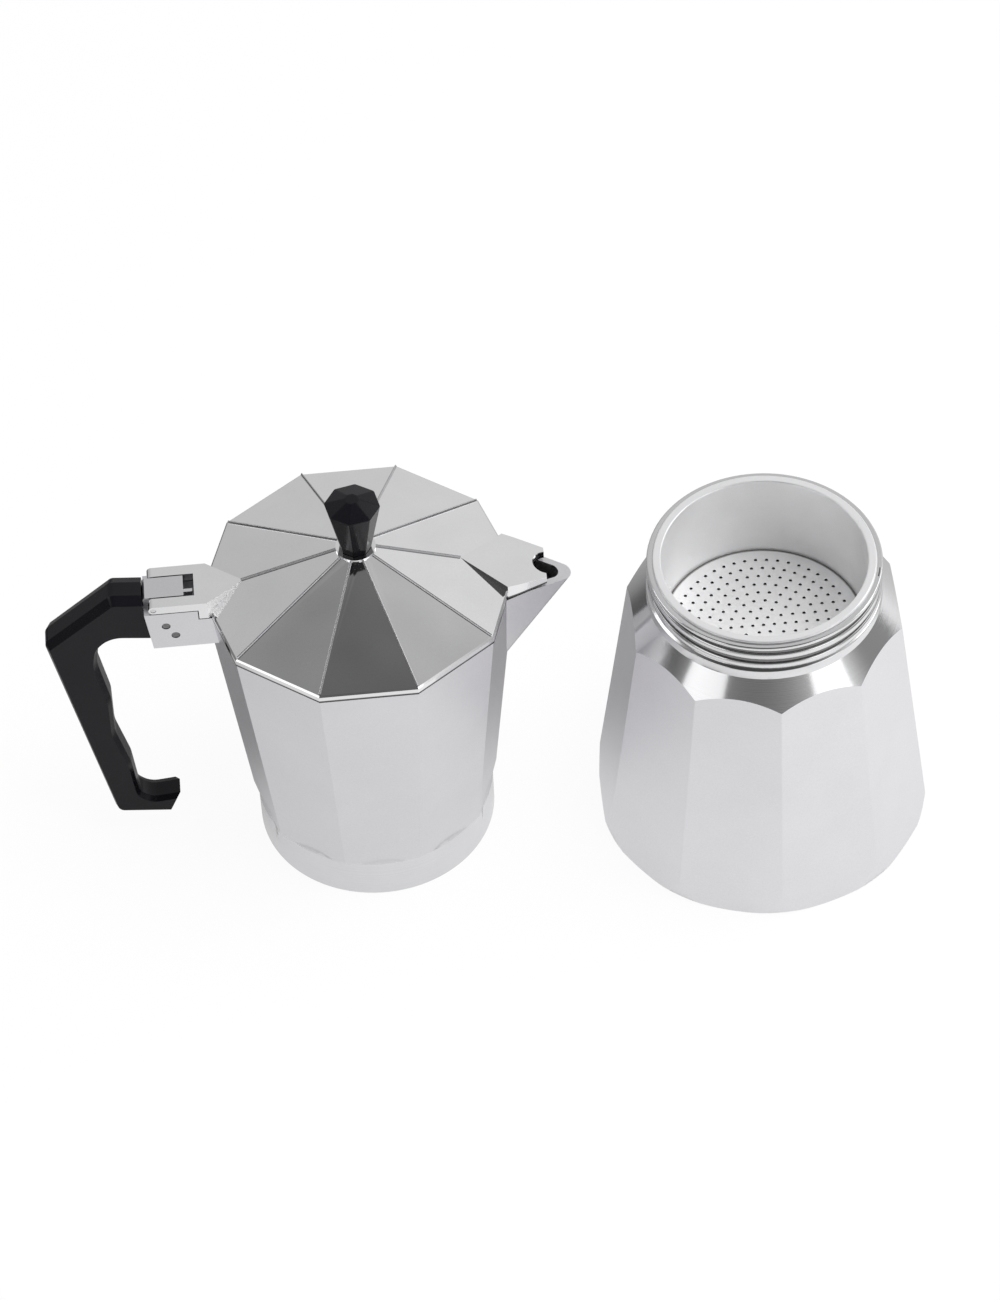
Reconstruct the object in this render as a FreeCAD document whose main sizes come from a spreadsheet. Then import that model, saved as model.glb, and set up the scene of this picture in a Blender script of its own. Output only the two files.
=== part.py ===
import FreeCAD, Part
import math
import os
import re
import Sketcher

doc = FreeCAD.newDocument("moka_pot")
vec = FreeCAD.Vector

# Every size is in millimetres, every turn in degrees.
# Heights of the boiler and of the jug are measured from the table.
table = [
    ("facets", 10, "flat sides of boiler, jug and lid"),
    ("fit_gap", 0.3, "gap between pieces that move against each other"),
    ("seat_gap", 0.1, "radial gap of a pressed or screwed fit"),
    ("run_gap", 0.08, "radial gap of a running pin"),
    ("jug_along", -119, "jug axis from boiler axis, along the handle line"),
    ("jug_across", 7.4, "jug axis from boiler axis, across the handle line"),
    ("boiler_turn", -18, "turn of the boiler facets"),
    ("boiler_base", 50.5, "radius of the round foot"),
    ("boiler_band", 14, "height over which the round foot runs out"),
    ("foot_flare", 1, "growth of the round foot over that height"),
    ("foot_chamfer", 0.8, "chamfer under the round foot"),
    ("boiler_wide", 52.3, "corner radius of the facets at the table"),
    ("boiler_narrow", 40.5, "corner radius of the facets at the shoulder top"),
    ("envelope", 65, "outer limit of the turned envelopes"),
    ("shoulder_foot", 55, "height where the shoulder cone meets the envelope"),
    ("shoulder_top", 92, "height of the shoulder top"),
    ("shoulder_ring", 34.9, "radius of the plain ring on the shoulder"),
    ("ring_height", 3.2, "height of the plain ring"),
    ("thread_root", 33.9, "radius of the collar at the thread root"),
    ("thread_crest", 34.7, "radius of the collar lip and the thread crest"),
    ("lip_height", 1.1, "height of the collar lip"),
    ("collar_top", 105.3, "height of the collar top"),
    ("collar_bore", 31.6, "radius of the collar bore"),
    ("boiler_floor", 3, "thickness of the boiler floor"),
    ("boiler_wall", 3.74, "wall of the boiler at the floor"),
    ("upper_wall", 2.72, "wall of the boiler under the shoulder"),
    ("cavity_drop", 11.5, "depth under the shoulder top where the cavity draws in"),
    ("neck_drop", 5.5, "depth under the shoulder top where the cavity meets the bore"),
    ("valve_turn", 108, "direction of the valve"),
    ("valve_height", 58, "height of the valve axis"),
    ("boss_rise", 1.335, "rise of the valve boss face over the flat"),
    ("boss_radius", 7.6, "radius of the valve boss"),
    ("valve_hole", 5, "radius of the hole through the boiler wall"),
    ("seal_thick", 1, "thickness of the valve seal"),
    ("hex_corner", 7, "corner radius of the valve hexagon"),
    ("hex_height", 5, "height of the valve hexagon"),
    ("shank_end", 9, "depth of the valve shank from the boss face"),
    ("seat_wall", 1.5, "thickness of the valve seat wall"),
    ("seat_bore", 1.7, "radius of the valve seat bore"),
    ("chamber_bore", 3.3, "radius of the valve chamber"),
    ("cap_depth", 1.5, "depth of the valve cap in the chamber"),
    ("cap_flange", 4.4, "radius of the valve cap flange"),
    ("cap_thick", 0.9, "thickness of the valve cap flange"),
    ("plunger_radius", 2.9, "radius of the valve plunger disc"),
    ("plunger_thick", 1.5, "thickness of the valve plunger disc"),
    ("stem_radius", 1.05, "radius of the valve pin"),
    ("stem_out", 2.2, "length of the valve pin outside the cap"),
    ("coil_mean", 2.1, "mean radius of the valve spring"),
    ("coil_wire", 0.35, "radius of the valve spring wire"),
    ("coil_turns", 6, "turns of the valve spring"),
    ("flange_radius", 33, "radius of the funnel flange"),
    ("sheet_thick", 0.8, "thickness of the funnel sheet"),
    ("cup_outer", 31.1, "outer radius of the funnel cup"),
    ("sieve_height", 75.2, "height of the ledge under the sieve"),
    ("ledge", 1.5, "width of the ledge under the sieve"),
    ("cone_foot", 66, "height of the funnel cone foot"),
    ("neck_foot", 58, "height of the lower end of the funnel neck"),
    ("tube_outer", 4.2, "outer radius of the funnel tube"),
    ("tube_bore", 3.4, "inner radius of the funnel tube"),
    ("tube_foot", 8, "height of the lower end of the funnel tube"),
    ("hole_radius", 0.55, "corner radius of a sieve hole"),
    ("ring_pitch", 3.25, "distance between the rings of sieve holes"),
    ("plate_pitch", 5.6, "distance between the rings of filter plate holes"),
    ("jug_base", 36.2, "radius of the jug foot band"),
    ("jug_band", 14.3, "height of the jug foot band"),
    ("jug_chamfer", 1.4, "run-in of the taper on top of the jug foot band"),
    ("jug_taper", 4.5, "height of the taper on top of the jug foot band"),
    ("jug_narrow", 35.9, "corner radius of the jug facets at the table"),
    ("jug_wide", 46.2, "corner radius of the jug facets at the rim"),
    ("jug_rim", 101.4, "height of the jug rim"),
    ("jug_wall", 2.4, "wall of the jug along a corner"),
    ("chamber_floor", 23.5, "height of the jug chamber floor"),
    ("socket_radius", 35, "radius of the jug socket at the thread root"),
    ("socket_depth", 14, "height of the gasket face in the socket"),
    ("gasket_outer", 34, "outer radius of the gasket"),
    ("gasket_inner", 27.2, "inner radius of the gasket"),
    ("gasket_top", 17, "height of the socket ceiling"),
    ("plate_thick", 0.8, "thickness of the filter plate"),
    ("plate_flange", 29.5, "radius of the filter plate flange"),
    ("plate_dish", 25.9, "radius of the dished part of the filter plate"),
    ("plate_drop", 1.2, "depth of the filter plate dish"),
    ("recess_top", 20.4, "height of the conical recess under the column"),
    ("recess_wide", 25.5, "radius of the conical recess"),
    ("column_foot", 9, "radius of the column at its foot"),
    ("column_head", 6.4, "radius of the column at its head"),
    ("column_top", 78.5, "height of the column top"),
    ("column_bore", 3.2, "radius of the column bore"),
    ("outlet_drop", 7.5, "drop of the column outlets below the column top"),
    ("outlet_radius", 2, "radius of the column outlets"),
    ("spout_foot", 64, "height of the lower end of the spout"),
    ("spout_reach", 64, "reach of the spout nose at the rim"),
    ("spout_low_reach", 41.3, "reach of the spout nose at its foot"),
    ("spout_back", 38, "start of the spout sides"),
    ("spout_half", 13.1, "half width of the spout at its start"),
    ("spout_low_half", 2.4, "half width of the spout foot at its start"),
    ("nose_radius", 3.4, "radius of the spout nose at the rim"),
    ("nose_low", 0.8, "radius of the spout nose at its foot"),
    ("way_back", 33, "start of the way through the spout"),
    ("way_half", 12.4, "half width of the way at its start"),
    ("way_low_half", 4, "half width of the way foot at its start"),
    ("way_reach", 60.2, "reach of the way at the rim"),
    ("way_low_reach", 40.6, "reach of the way at its foot"),
    ("way_foot", 70, "height of the foot of the way"),
    ("way_nose", 2.8, "nose radius of the way at the rim"),
    ("way_nose_low", 0.6, "nose radius of the way at its foot"),
    ("lip_start", 50, "start of the sloped spout lip"),
    ("lip_drop", 2.6, "drop of the spout lip at the nose"),
    ("bracket_half", 7.85, "half width of the handle bracket"),
    ("bracket_end_low", -61.7, "outer end of the bracket at its foot"),
    ("bracket_end_high", -63.3, "outer end of the bracket at its top"),
    ("bracket_inner", -47.6, "inner end of the raised bracket"),
    ("knuckle_half", 3.9, "half width of the hinge knuckle"),
    ("knuckle_inner", -51.3, "inner end of the hinge knuckle"),
    ("hinge_along", -60.4, "hinge pin axis along the handle line"),
    ("hinge_pin_radius", 0.75, "radius of the hinge pin"),
    ("rib_half", 0.6, "half width of the knuckle rib"),
    ("rib_across", -1.5, "place of the knuckle rib"),
    ("rib_end", -48.7, "end of the knuckle rib"),
    ("socket_half", 4.2, "half width of the handle socket"),
    ("socket_end", -52.4, "inner end of the handle socket"),
    ("pin_radius", 1.2, "radius of the handle pins"),
    ("pin_upper_along", -57.3, "upper handle pin along the handle line"),
    ("pin_lower_along", -54.8, "lower handle pin along the handle line"),
    ("grip_core", 2.6, "half width of the straight core of the handle"),
    ("grip_side", 3.2, "width of the sloped sides of the handle"),
    ("grip_slope", 24, "slope of the sides of the handle"),
    ("grip_half_high", 5.8, "half width of the handle at the top"),
    ("grip_half_low", 4.3, "half width of the handle at the foot"),
    ("neck_end_along", -58, "end of the handle neck before trimming"),
    ("elbow_high_along", -72.7, "upper corner of the handle"),
    ("elbow_out_along", -93.9, "outer corner of the handle"),
    ("heel_along", -80, "lower back corner of the handle"),
    ("heel_height", 11.6, "lower back corner of the handle"),
    ("toe_along", -63.2, "lower front corner of the hook"),
    ("toe_height", 9.6, "lower front corner of the hook"),
    ("tip_along", -60.2, "tip of the hook"),
    ("tip_height", 16.6, "tip of the hook"),
    ("hollow_along", -69, "hollow of the hook"),
    ("hollow_height", 15.6, "hollow of the hook"),
    ("crook_along", -72.6, "inner corner of the hook"),
    ("crook_height", 19, "inner corner of the hook"),
    ("ridge_low_along", -73.7, "lower finger ridge"),
    ("ridge_low_height", 33, "lower finger ridge"),
    ("dip_along", -77.2, "finger hollow"),
    ("dip_height", 48.5, "finger hollow"),
    ("ridge_high_along", -76.8, "upper finger ridge"),
    ("ridge_high_height", 63.5, "upper finger ridge"),
    ("inner_along", -79.4, "inner corner below the neck"),
    ("bend_along", -78.2, "inner bend below the neck"),
    ("soffit_along", -74, "underside of the neck at the bend"),
    ("elbow_round", 3, "rounding of the outer corners of the handle"),
    ("hook_round", 5, "rounding inside the hook"),
    ("finger_round", 16, "rounding of the finger ridges"),
    ("bend_round", 6.5, "rounding of the inner bend"),
    ("lid_radius", 46.4, "corner radius of the lid"),
    ("lid_bevel", 0.5, "bevel of the lid edge"),
    ("crown_radius", 5.4, "corner radius of the lid crown"),
    ("lid_boss", 5.9, "radius of the boss under the knob"),
    ("lid_hollow", 43.9, "corner radius of the lid hollow"),
    ("hollow_crown", 4.4, "corner radius of the hollow under the crown"),
    ("cover_start", 30.3, "start of the spout cover on the lid"),
    ("cover_rim_along", 43.2, "spout cover where it meets the lid edge"),
    ("cover_rim_half", 10.6, "half width of the cover at the lid edge"),
    ("cover_bend_along", 46.6, "bend of the spout cover side"),
    ("cover_bend_half", 9.4, "half width of the cover at the bend"),
    ("cover_end", 55, "end of the spout cover"),
    ("cover_end_half", 5.9, "half width of the cover end"),
    ("mouth_along", 55.5, "centre of the pouring mouth"),
    ("mouth_radius", 4.2, "radius of the pouring mouth"),
    ("tab_start", -33.6, "start of the hinge tab on the lid"),
    ("tab_rim", -44.6, "hinge tab where it meets the lid edge"),
    ("tab_drop", -47.3, "inner end of the ears"),
    ("slot_end", -48.2, "end of the slot for the knuckle"),
    ("slot_half", 4.3, "half width of the slot for the knuckle"),
    ("ear_radius", 1.45, "radius of the ear ends"),
    ("screw_radius", 2, "radius of the knob screw"),
    ("screw_head", 3.5, "radius of the knob screw head"),
    ("screw_head_thick", 1.8, "thickness of the knob screw head"),
    ("washer_radius", 4, "radius of the knob washer"),
    ("washer_thick", 0.8, "thickness of the knob washer"),
    ("insert_radius", 3, "radius of the knob insert"),
    ("knob_turn", -10, "turn of the knob facets"),
    ("knob_foot", 4.7, "corner radius of the knob foot"),
    ("knob_wide", 8.25, "corner radius of the knob crown"),
    ("knob_crown", 2, "corner radius of the knob crown top"),
]

# Heights in this list are measured from the jug rim.
rim_table = [
    ("bracket_foot", -11.1, "height of the bracket foot"),
    ("bracket_top", 3.6, "height of the bracket top"),
    ("hinge_top", 6.8, "height of the hinge tab and knuckle"),
    ("hinge_height", 5.35, "hinge pin axis height"),
    ("pit_foot", -5.4, "floor of the pit behind the knuckle"),
    ("socket_foot", -8.8, "foot of the handle socket"),
    ("socket_top", 1, "top of the handle socket"),
    ("pin_upper_height", -1.8, "upper handle pin height"),
    ("pin_lower_height", -6, "lower handle pin height"),
    ("neck_end_height", 6.4, "top of the neck"),
    ("elbow_high_height", 7.9, "upper corner of the handle"),
    ("elbow_out_height", -10.4, "outer corner of the handle"),
    ("inner_height", -20.9, "inner corner below the neck"),
    ("bend_height", -13.4, "inner bend below the neck"),
    ("soffit_height", -8.8, "underside of the neck at the bend"),
    ("neck_foot_height", -10.9, "underside of the neck at the bracket"),
    ("lid_low", 0.3, "height of the lid underside"),
    ("lid_edge", 2.4, "height of the lid edge below its bevel"),
    ("crown_height", 16.6, "height of the lid crown"),
    ("lid_boss_top", 17.4, "height of the boss under the knob"),
    ("hollow_edge", 1.6, "height of the hollow at the edge"),
    ("hollow_top", 15, "height of the hollow under the crown"),
    ("cover_start_height", 8.2, "height of the cover at its start"),
    ("cover_end_height", 2.5, "height of the cover at its end"),
    ("screw_top", 26.6, "height of the end of the knob screw"),
    ("insert_top", 27.6, "height of the top of the knob insert"),
    ("knob_edge", 35, "height of the knob crown edge"),
    ("knob_top", 37.4, "height of the knob top"),
]

sizes = doc.addObject("Spreadsheet::Sheet", "sizes")
for number, (alias, value, note) in enumerate(table + rim_table, start=1):
    sizes.set("A%d" % number, note)
    sizes.set("B%d" % number, str(value))
    sizes.setAlias("B%d" % number, alias)
names = set(row[0] for row in table)
rim_names = set(row[0] for row in rim_table)
doc.recompute()


def full_name(word):
    if word.group() in rim_names:
        return "(sizes.jug_rim + sizes.%s)" % word.group()
    return ("sizes." if word.group() in names else "") + word.group()


def bound(text):
    return re.sub("[a-z_]+", full_name, text)


def bind(thing, **settings):
    for path, text in settings.items():
        thing.setExpression(path.replace("__", "."), bound(text))
    return thing


def at(thing, along="0", across="0", height="0"):
    return bind(thing, Placement__Base__x=along, Placement__Base__y=across, Placement__Base__z=height)


def turned_to(thing, angle):
    thing.Placement = FreeCAD.Placement(vec(0, 0, 0), FreeCAD.Rotation(vec(0, 0, 1), 0.001))
    return bind(thing, Placement__Rotation__Angle=angle)


def on_jug(thing):
    return at(thing, "jug_along", "jug_across")


def boiler_flat(height):
    return "(boiler_wide + (boiler_narrow - boiler_wide) * (%s) / shoulder_top) * cos(180 deg / facets)" % height


def on_valve(thing):
    turned_to(thing, "valve_turn")
    return at(
        thing,
        "(%s + boss_rise) * cos(valve_turn * 1 deg)" % boiler_flat("valve_height"),
        "(%s + boss_rise) * sin(valve_turn * 1 deg)" % boiler_flat("valve_height"),
        "valve_height",
    )


def new_sketch(body, name, plane):
    sketch = body.newObject("Sketcher::SketchObject", name)
    support = [part for part in body.Origin.OriginFeatures if part.Role == plane][0]
    sketch.AttachmentSupport = [(support, "")]
    sketch.MapMode = "FlatFace"
    return sketch


def pin_point(sketch, edge, end, across, up, start):
    place = sketch.addConstraint(Sketcher.Constraint("DistanceX", -1, 1, edge, end, start[0]))
    sketch.setExpression("Constraints[%d]" % place, bound(across))
    place = sketch.addConstraint(Sketcher.Constraint("DistanceY", -1, 1, edge, end, start[1]))
    sketch.setExpression("Constraints[%d]" % place, bound(up))


def draw_corners(sketch, corners):
    count = len(corners)
    start = [(10 * i + 1, 5 * i * i + 1) for i in range(count)]
    for i in range(count):
        first = start[i]
        second = start[(i + 1) % count]
        sketch.addGeometry(Part.LineSegment(vec(first[0], first[1], 0), vec(second[0], second[1], 0)), False)
    for i in range(count):
        sketch.addConstraint(Sketcher.Constraint("Coincident", i, 2, (i + 1) % count, 1))
    for i, (across, up) in enumerate(corners):
        pin_point(sketch, i, 1, across, up, start[i])


def size_of(alias):
    return sizes.get(alias) + (sizes.get("jug_rim") if alias in rim_names else 0)


def draw_rounded(sketch, corners):
    count = len(corners)
    places = [vec(size_of(along), size_of(height), 0) for along, height, rounding in corners]
    starts = list(places)
    ends = list(places)
    arcs = {}
    for i, (along, height, rounding) in enumerate(corners):
        if rounding is None:
            continue
        before = (places[i] - places[i - 1]).normalize()
        after = (places[(i + 1) % count] - places[i]).normalize()
        swing = math.atan2(before.x * after.y - before.y * after.x, before.dot(after))
        trim = size_of(rounding) * math.tan(abs(swing) / 2)
        ends[i] = places[i] - before * trim
        starts[i] = places[i] + after * trim
        left = vec(-before.y, before.x, 0) * math.copysign(size_of(rounding), swing)
        centre = ends[i] + left
        first, last = (ends[i], starts[i]) if swing > 0 else (starts[i], ends[i])
        turn_in = math.atan2(first.y - centre.y, first.x - centre.x)
        turn_out = math.atan2(last.y - centre.y, last.x - centre.x)
        circle = Part.Circle(centre, vec(0, 0, 1), size_of(rounding))
        arcs[i] = (Part.ArcOfCircle(circle, turn_in, turn_out), swing > 0)
    for i in range(count):
        sketch.addGeometry(Part.LineSegment(starts[i], ends[(i + 1) % count]), False)
    for i, (along, height, rounding) in enumerate(corners):
        point = sketch.addGeometry(Part.Point(places[i]), True)
        pin_point(sketch, point, 1, along, height, places[i])
        line_in = (i - 1) % count
        if rounding is None:
            sketch.addConstraint(Sketcher.Constraint("Coincident", line_in, 2, point, 1))
            sketch.addConstraint(Sketcher.Constraint("Coincident", i, 1, point, 1))
            continue
        curve, forward = arcs[i]
        arc = sketch.addGeometry(curve, False)
        sketch.addConstraint(Sketcher.Constraint("PointOnObject", point, 1, line_in))
        sketch.addConstraint(Sketcher.Constraint("PointOnObject", point, 1, i))
        sketch.addConstraint(Sketcher.Constraint("Tangent", line_in, 2, arc, 1 if forward else 2))
        sketch.addConstraint(Sketcher.Constraint("Tangent", arc, 2 if forward else 1, i, 1))
        place = sketch.addConstraint(Sketcher.Constraint("Radius", arc, size_of(rounding)))
        sketch.setExpression("Constraints[%d]" % place, bound(rounding))


def turned(name, corners, axis="V_Axis"):
    body = doc.addObject("PartDesign::Body", name)
    sketch = new_sketch(body, name + "_outline", "XZ_Plane")
    draw_corners(sketch, corners)
    turning = body.newObject("PartDesign::Revolution", name + "_turning")
    turning.Profile = sketch
    turning.ReferenceAxis = (sketch, [axis])
    turning.Angle = 360
    body.Tip = turning
    return body


def slab(name, corners, width, plane="XZ_Plane", draw=draw_corners):
    body = doc.addObject("PartDesign::Body", name)
    sketch = new_sketch(body, name + "_outline", plane)
    draw(sketch, corners)
    pad = body.newObject("PartDesign::Pad", name + "_pad")
    pad.Profile = sketch
    pad.SideType = "Symmetric"
    bind(pad, Length=width)
    body.Tip = pad
    return body


def facetted(name, sides, turn, sections):
    rings = []
    for i, (radius, height) in enumerate(sections):
        ring = doc.addObject("Part::RegularPolygon", "%s_ring_%d" % (name, i))
        ring.Polygon = 3
        bind(ring, Polygon=sides, Circumradius=radius)
        turned_to(ring, turn)
        at(ring, "0", "0", height)
        rings.append(ring)
    loft = doc.addObject("Part::Loft", name)
    loft.Sections = rings
    loft.Solid = True
    loft.Ruled = True
    return loft


def drum(name, radius, length, along="0", across="0", height="0", lying=False):
    solid = doc.addObject("Part::Cylinder", name)
    if lying:
        solid.Placement = FreeCAD.Placement(vec(0, 0, 0), FreeCAD.Rotation(vec(1, 0, 0), 90))
    bind(solid, Radius=radius, Height=length)
    return at(solid, along, across, height)


def cross_pin(name, radius, half, along, height):
    return drum(name, radius, "2 * (%s)" % half, along, half, height, True)


def block(name, along, across, height, length, width, tall):
    solid = doc.addObject("Part::Box", name)
    bind(solid, Length=length, Width=width, Height=tall)
    return at(solid, along, across, height)


def mid_block(name, along, half, height, length, tall):
    return block(name, along, "-(%s)" % half, height, length, "2 * (%s)" % half, tall)


def joined(name, *things):
    solid = doc.addObject("Part::MultiFuse", name)
    solid.Shapes = list(things)
    solid.Refine = True
    return solid


def cut(name, base, *tools):
    solid = doc.addObject("Part::Cut", name)
    solid.Base = base
    solid.Tool = tools[0] if len(tools) == 1 else joined(name + "_tools", *tools)
    solid.Refine = True
    return solid


def shared(name, first, second):
    solid = doc.addObject("Part::Common", name)
    solid.Base = first
    solid.Tool = second
    solid.Refine = True
    return solid


def beak(name, sections):
    body = doc.addObject("PartDesign::Body", name)
    sketches = []
    for i, (back, half, reach, nose, height, guess) in enumerate(sections):
        sketch = new_sketch(body, "%s_outline_%d" % (name, i), "XY_Plane")
        bind(sketch, AttachmentOffset__Base__z=height)
        rear, wide, tip, round_off = guess
        centre = vec(tip - round_off, 0, 0)
        upper = vec(tip - 0.6 * round_off, 0.9 * round_off, 0)
        lower = vec(tip - 0.6 * round_off, -0.9 * round_off, 0)
        sketch.addGeometry(Part.LineSegment(vec(rear, -wide, 0), lower), False)
        sketch.addGeometry(Part.Arc(lower, vec(tip, 0, 0), upper), False)
        sketch.addGeometry(Part.LineSegment(upper, vec(rear, wide, 0)), False)
        sketch.addGeometry(Part.LineSegment(vec(rear, wide, 0), vec(rear, -wide, 0)), False)
        sketch.addConstraint(Sketcher.Constraint("Tangent", 0, 2, 1, 1))
        sketch.addConstraint(Sketcher.Constraint("Tangent", 1, 2, 2, 1))
        sketch.addConstraint(Sketcher.Constraint("Coincident", 2, 2, 3, 1))
        sketch.addConstraint(Sketcher.Constraint("Coincident", 3, 2, 0, 1))
        pin_point(sketch, 0, 1, back, "-(%s)" % half, (rear, -wide))
        pin_point(sketch, 2, 2, back, half, (rear, wide))
        sketch.addConstraint(Sketcher.Constraint("PointOnObject", 1, 3, -1))
        place = sketch.addConstraint(Sketcher.Constraint("DistanceX", -1, 1, 1, 3, centre.x))
        sketch.setExpression("Constraints[%d]" % place, bound("%s - %s" % (reach, nose)))
        sketches.append(sketch)
    loft = body.newObject("PartDesign::AdditiveLoft", name + "_loft")
    loft.Profile = sketches[0]
    loft.Sections = sketches[1:]
    loft.Ruled = True
    body.Tip = loft
    return body


def perforated(name, plate, foot, tall, pitch, counts):
    holes = []
    for ring, count in enumerate(counts):
        for i in range(count):
            hole = doc.addObject("Part::Prism", "%s_hole" % name)
            hole.Polygon = 6
            bind(hole, Circumradius="hole_radius", Height=tall)
            turn = "(%d * 360 / %d) * 1 deg" % (i, count)
            at(hole, "%d * %s * cos(%s)" % (ring, pitch, turn), "%d * %s * sin(%s)" % (ring, pitch, turn), foot)
            holes.append(hole)
    group = doc.addObject("Part::Compound", name + "_holes")
    group.Links = holes
    solid = doc.addObject("Part::Cut", name)
    solid.Base = plate
    solid.Tool = group
    return solid


# Boiler: one casting with flat sides, a turned shoulder, a collar and a valve boss.
boiler_facets = facetted(
    "boiler_facets", "facets", "boiler_turn", [("boiler_wide", "0"), ("boiler_narrow", "shoulder_top")]
)
boiler_envelope = turned("boiler_envelope", [
    ("0", "0"),
    ("boiler_base - foot_chamfer", "0"),
    ("boiler_base", "foot_chamfer"),
    ("boiler_base + foot_flare", "boiler_band"),
    ("envelope", "boiler_band + envelope - boiler_base"),
    ("envelope", "shoulder_foot"),
    ("shoulder_ring", "shoulder_top"),
    ("0", "shoulder_top"),
])
boiler_flats = shared("boiler_flats", boiler_facets, boiler_envelope)
boiler_collar = turned("boiler_collar", [
    ("0", "shoulder_top - 4"),
    ("shoulder_ring - 1", "shoulder_top - 4"),
    ("shoulder_ring", "shoulder_top"),
    ("shoulder_ring", "shoulder_top + ring_height"),
    ("thread_root", "shoulder_top + ring_height + 0.6"),
    ("thread_root", "collar_top - lip_height - 0.5"),
    ("thread_crest", "collar_top - lip_height"),
    ("thread_crest", "collar_top - 0.3"),
    ("thread_crest - 0.3", "collar_top"),
    ("0", "collar_top"),
])
valve_boss = on_valve(turned("valve_boss", [
    ("-8", "0"), ("0", "0"), ("0", "boss_radius"), ("-8", "boss_radius"),
], "H_Axis"))
valve_way = on_valve(turned("valve_way", [
    ("-20", "0"), ("1", "0"), ("1", "valve_hole"), ("-20", "valve_hole"),
], "H_Axis"))
cavity_wide = "min(%s; boiler_base) - boiler_wall" % boiler_flat("0")
cavity_high = "shoulder_top - cavity_drop"
boiler_cavity = turned("boiler_cavity", [
    ("0", "boiler_floor"),
    (cavity_wide + " - 1.4", "boiler_floor"),
    (cavity_wide, "boiler_floor + 1.4"),
    (boiler_flat(cavity_high) + " - upper_wall", cavity_high),
    ("collar_bore", "shoulder_top - neck_drop"),
    ("collar_bore", "collar_top + 1"),
    ("0", "collar_top + 1"),
])
boiler_outside = joined("boiler_outside", boiler_flats, boiler_collar, valve_boss)
boiler = cut("boiler", boiler_outside, boiler_cavity, valve_way)

# Safety valve: seal, hexagon body, plunger pin, spring and pressed cap along the valve axis.
valve_seal = on_valve(turned("valve_seal", [
    ("0", "valve_hole"), ("seal_thick", "valve_hole"), ("seal_thick", "hex_corner - 0.2"), ("0", "hex_corner - 0.2"),
], "H_Axis"))
valve_blank = turned("valve_blank", [
    ("-shank_end", "0"),
    ("seal_thick + 1", "0"),
    ("seal_thick + 1", "valve_hole - seat_gap"),
    ("-shank_end", "valve_hole - seat_gap"),
], "H_Axis")
valve_hexagon = doc.addObject("Part::Prism", "valve_hexagon")
valve_hexagon.Polygon = 6
valve_hexagon.Placement = FreeCAD.Placement(vec(0, 0, 0), FreeCAD.Rotation(vec(0, 1, 0), 90))
bind(valve_hexagon, Circumradius="hex_corner", Height="hex_height")
at(valve_hexagon, "seal_thick")
valve_bore = turned("valve_bore", [
    ("-shank_end - 1", "0"),
    ("seal_thick + hex_height + 1", "0"),
    ("seal_thick + hex_height + 1", "chamber_bore"),
    ("seat_wall - shank_end", "chamber_bore"),
    ("seat_wall - shank_end", "seat_bore"),
    ("-shank_end - 1", "seat_bore"),
], "H_Axis")
valve_body = on_valve(cut("valve_body", joined("valve_solid", valve_blank, valve_hexagon), valve_bore))
valve_pin = on_valve(turned("valve_pin", [
    ("seat_wall - shank_end + 0.05", "0"),
    ("seal_thick + hex_height + cap_thick + stem_out", "0"),
    ("seal_thick + hex_height + cap_thick + stem_out", "stem_radius - 0.3"),
    ("seal_thick + hex_height + cap_thick + stem_out - 0.3", "stem_radius"),
    ("seat_wall - shank_end + 0.05 + plunger_thick", "stem_radius"),
    ("seat_wall - shank_end + 0.05 + plunger_thick", "plunger_radius"),
    ("seat_wall - shank_end + 0.05", "plunger_radius"),
], "H_Axis"))
valve_cap = on_valve(turned("valve_cap", [
    ("seal_thick + hex_height - cap_depth", "stem_radius + run_gap"),
    ("seal_thick + hex_height + cap_thick", "stem_radius + run_gap"),
    ("seal_thick + hex_height + cap_thick", "cap_flange - 0.4"),
    ("seal_thick + hex_height + cap_thick - 0.4", "cap_flange"),
    ("seal_thick + hex_height", "cap_flange"),
    ("seal_thick + hex_height", "chamber_bore - 0.05"),
    ("seal_thick + hex_height - cap_depth", "chamber_bore - 0.05"),
], "H_Axis"))
valve_spring = doc.addObject("PartDesign::Body", "valve_spring")
wire = new_sketch(valve_spring, "valve_spring_wire", "XZ_Plane")
wire.addGeometry(Part.Circle(vec(-5, 2, 0), vec(0, 0, 1), 0.3), False)
place = wire.addConstraint(Sketcher.Constraint("Radius", 0, 0.3))
wire.setExpression("Constraints[%d]" % place, bound("coil_wire"))
pin_point(wire, 0, 3, "seat_wall - shank_end + plunger_thick + 0.1 + coil_wire", "coil_mean", (-5, 2))
coil = valve_spring.newObject("PartDesign::AdditiveHelix", "valve_spring_coil")
coil.Profile = wire
coil.ReferenceAxis = (wire, ["H_Axis"])
coil.Mode = "height-turns-angle"
coil.Turns = 6
bind(
    coil,
    Turns="coil_turns",
    Height="seal_thick + hex_height - cap_depth + shank_end - seat_wall - plunger_thick - 0.2 - 2 * coil_wire",
)
valve_spring.Tip = coil
on_valve(valve_spring)

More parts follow.
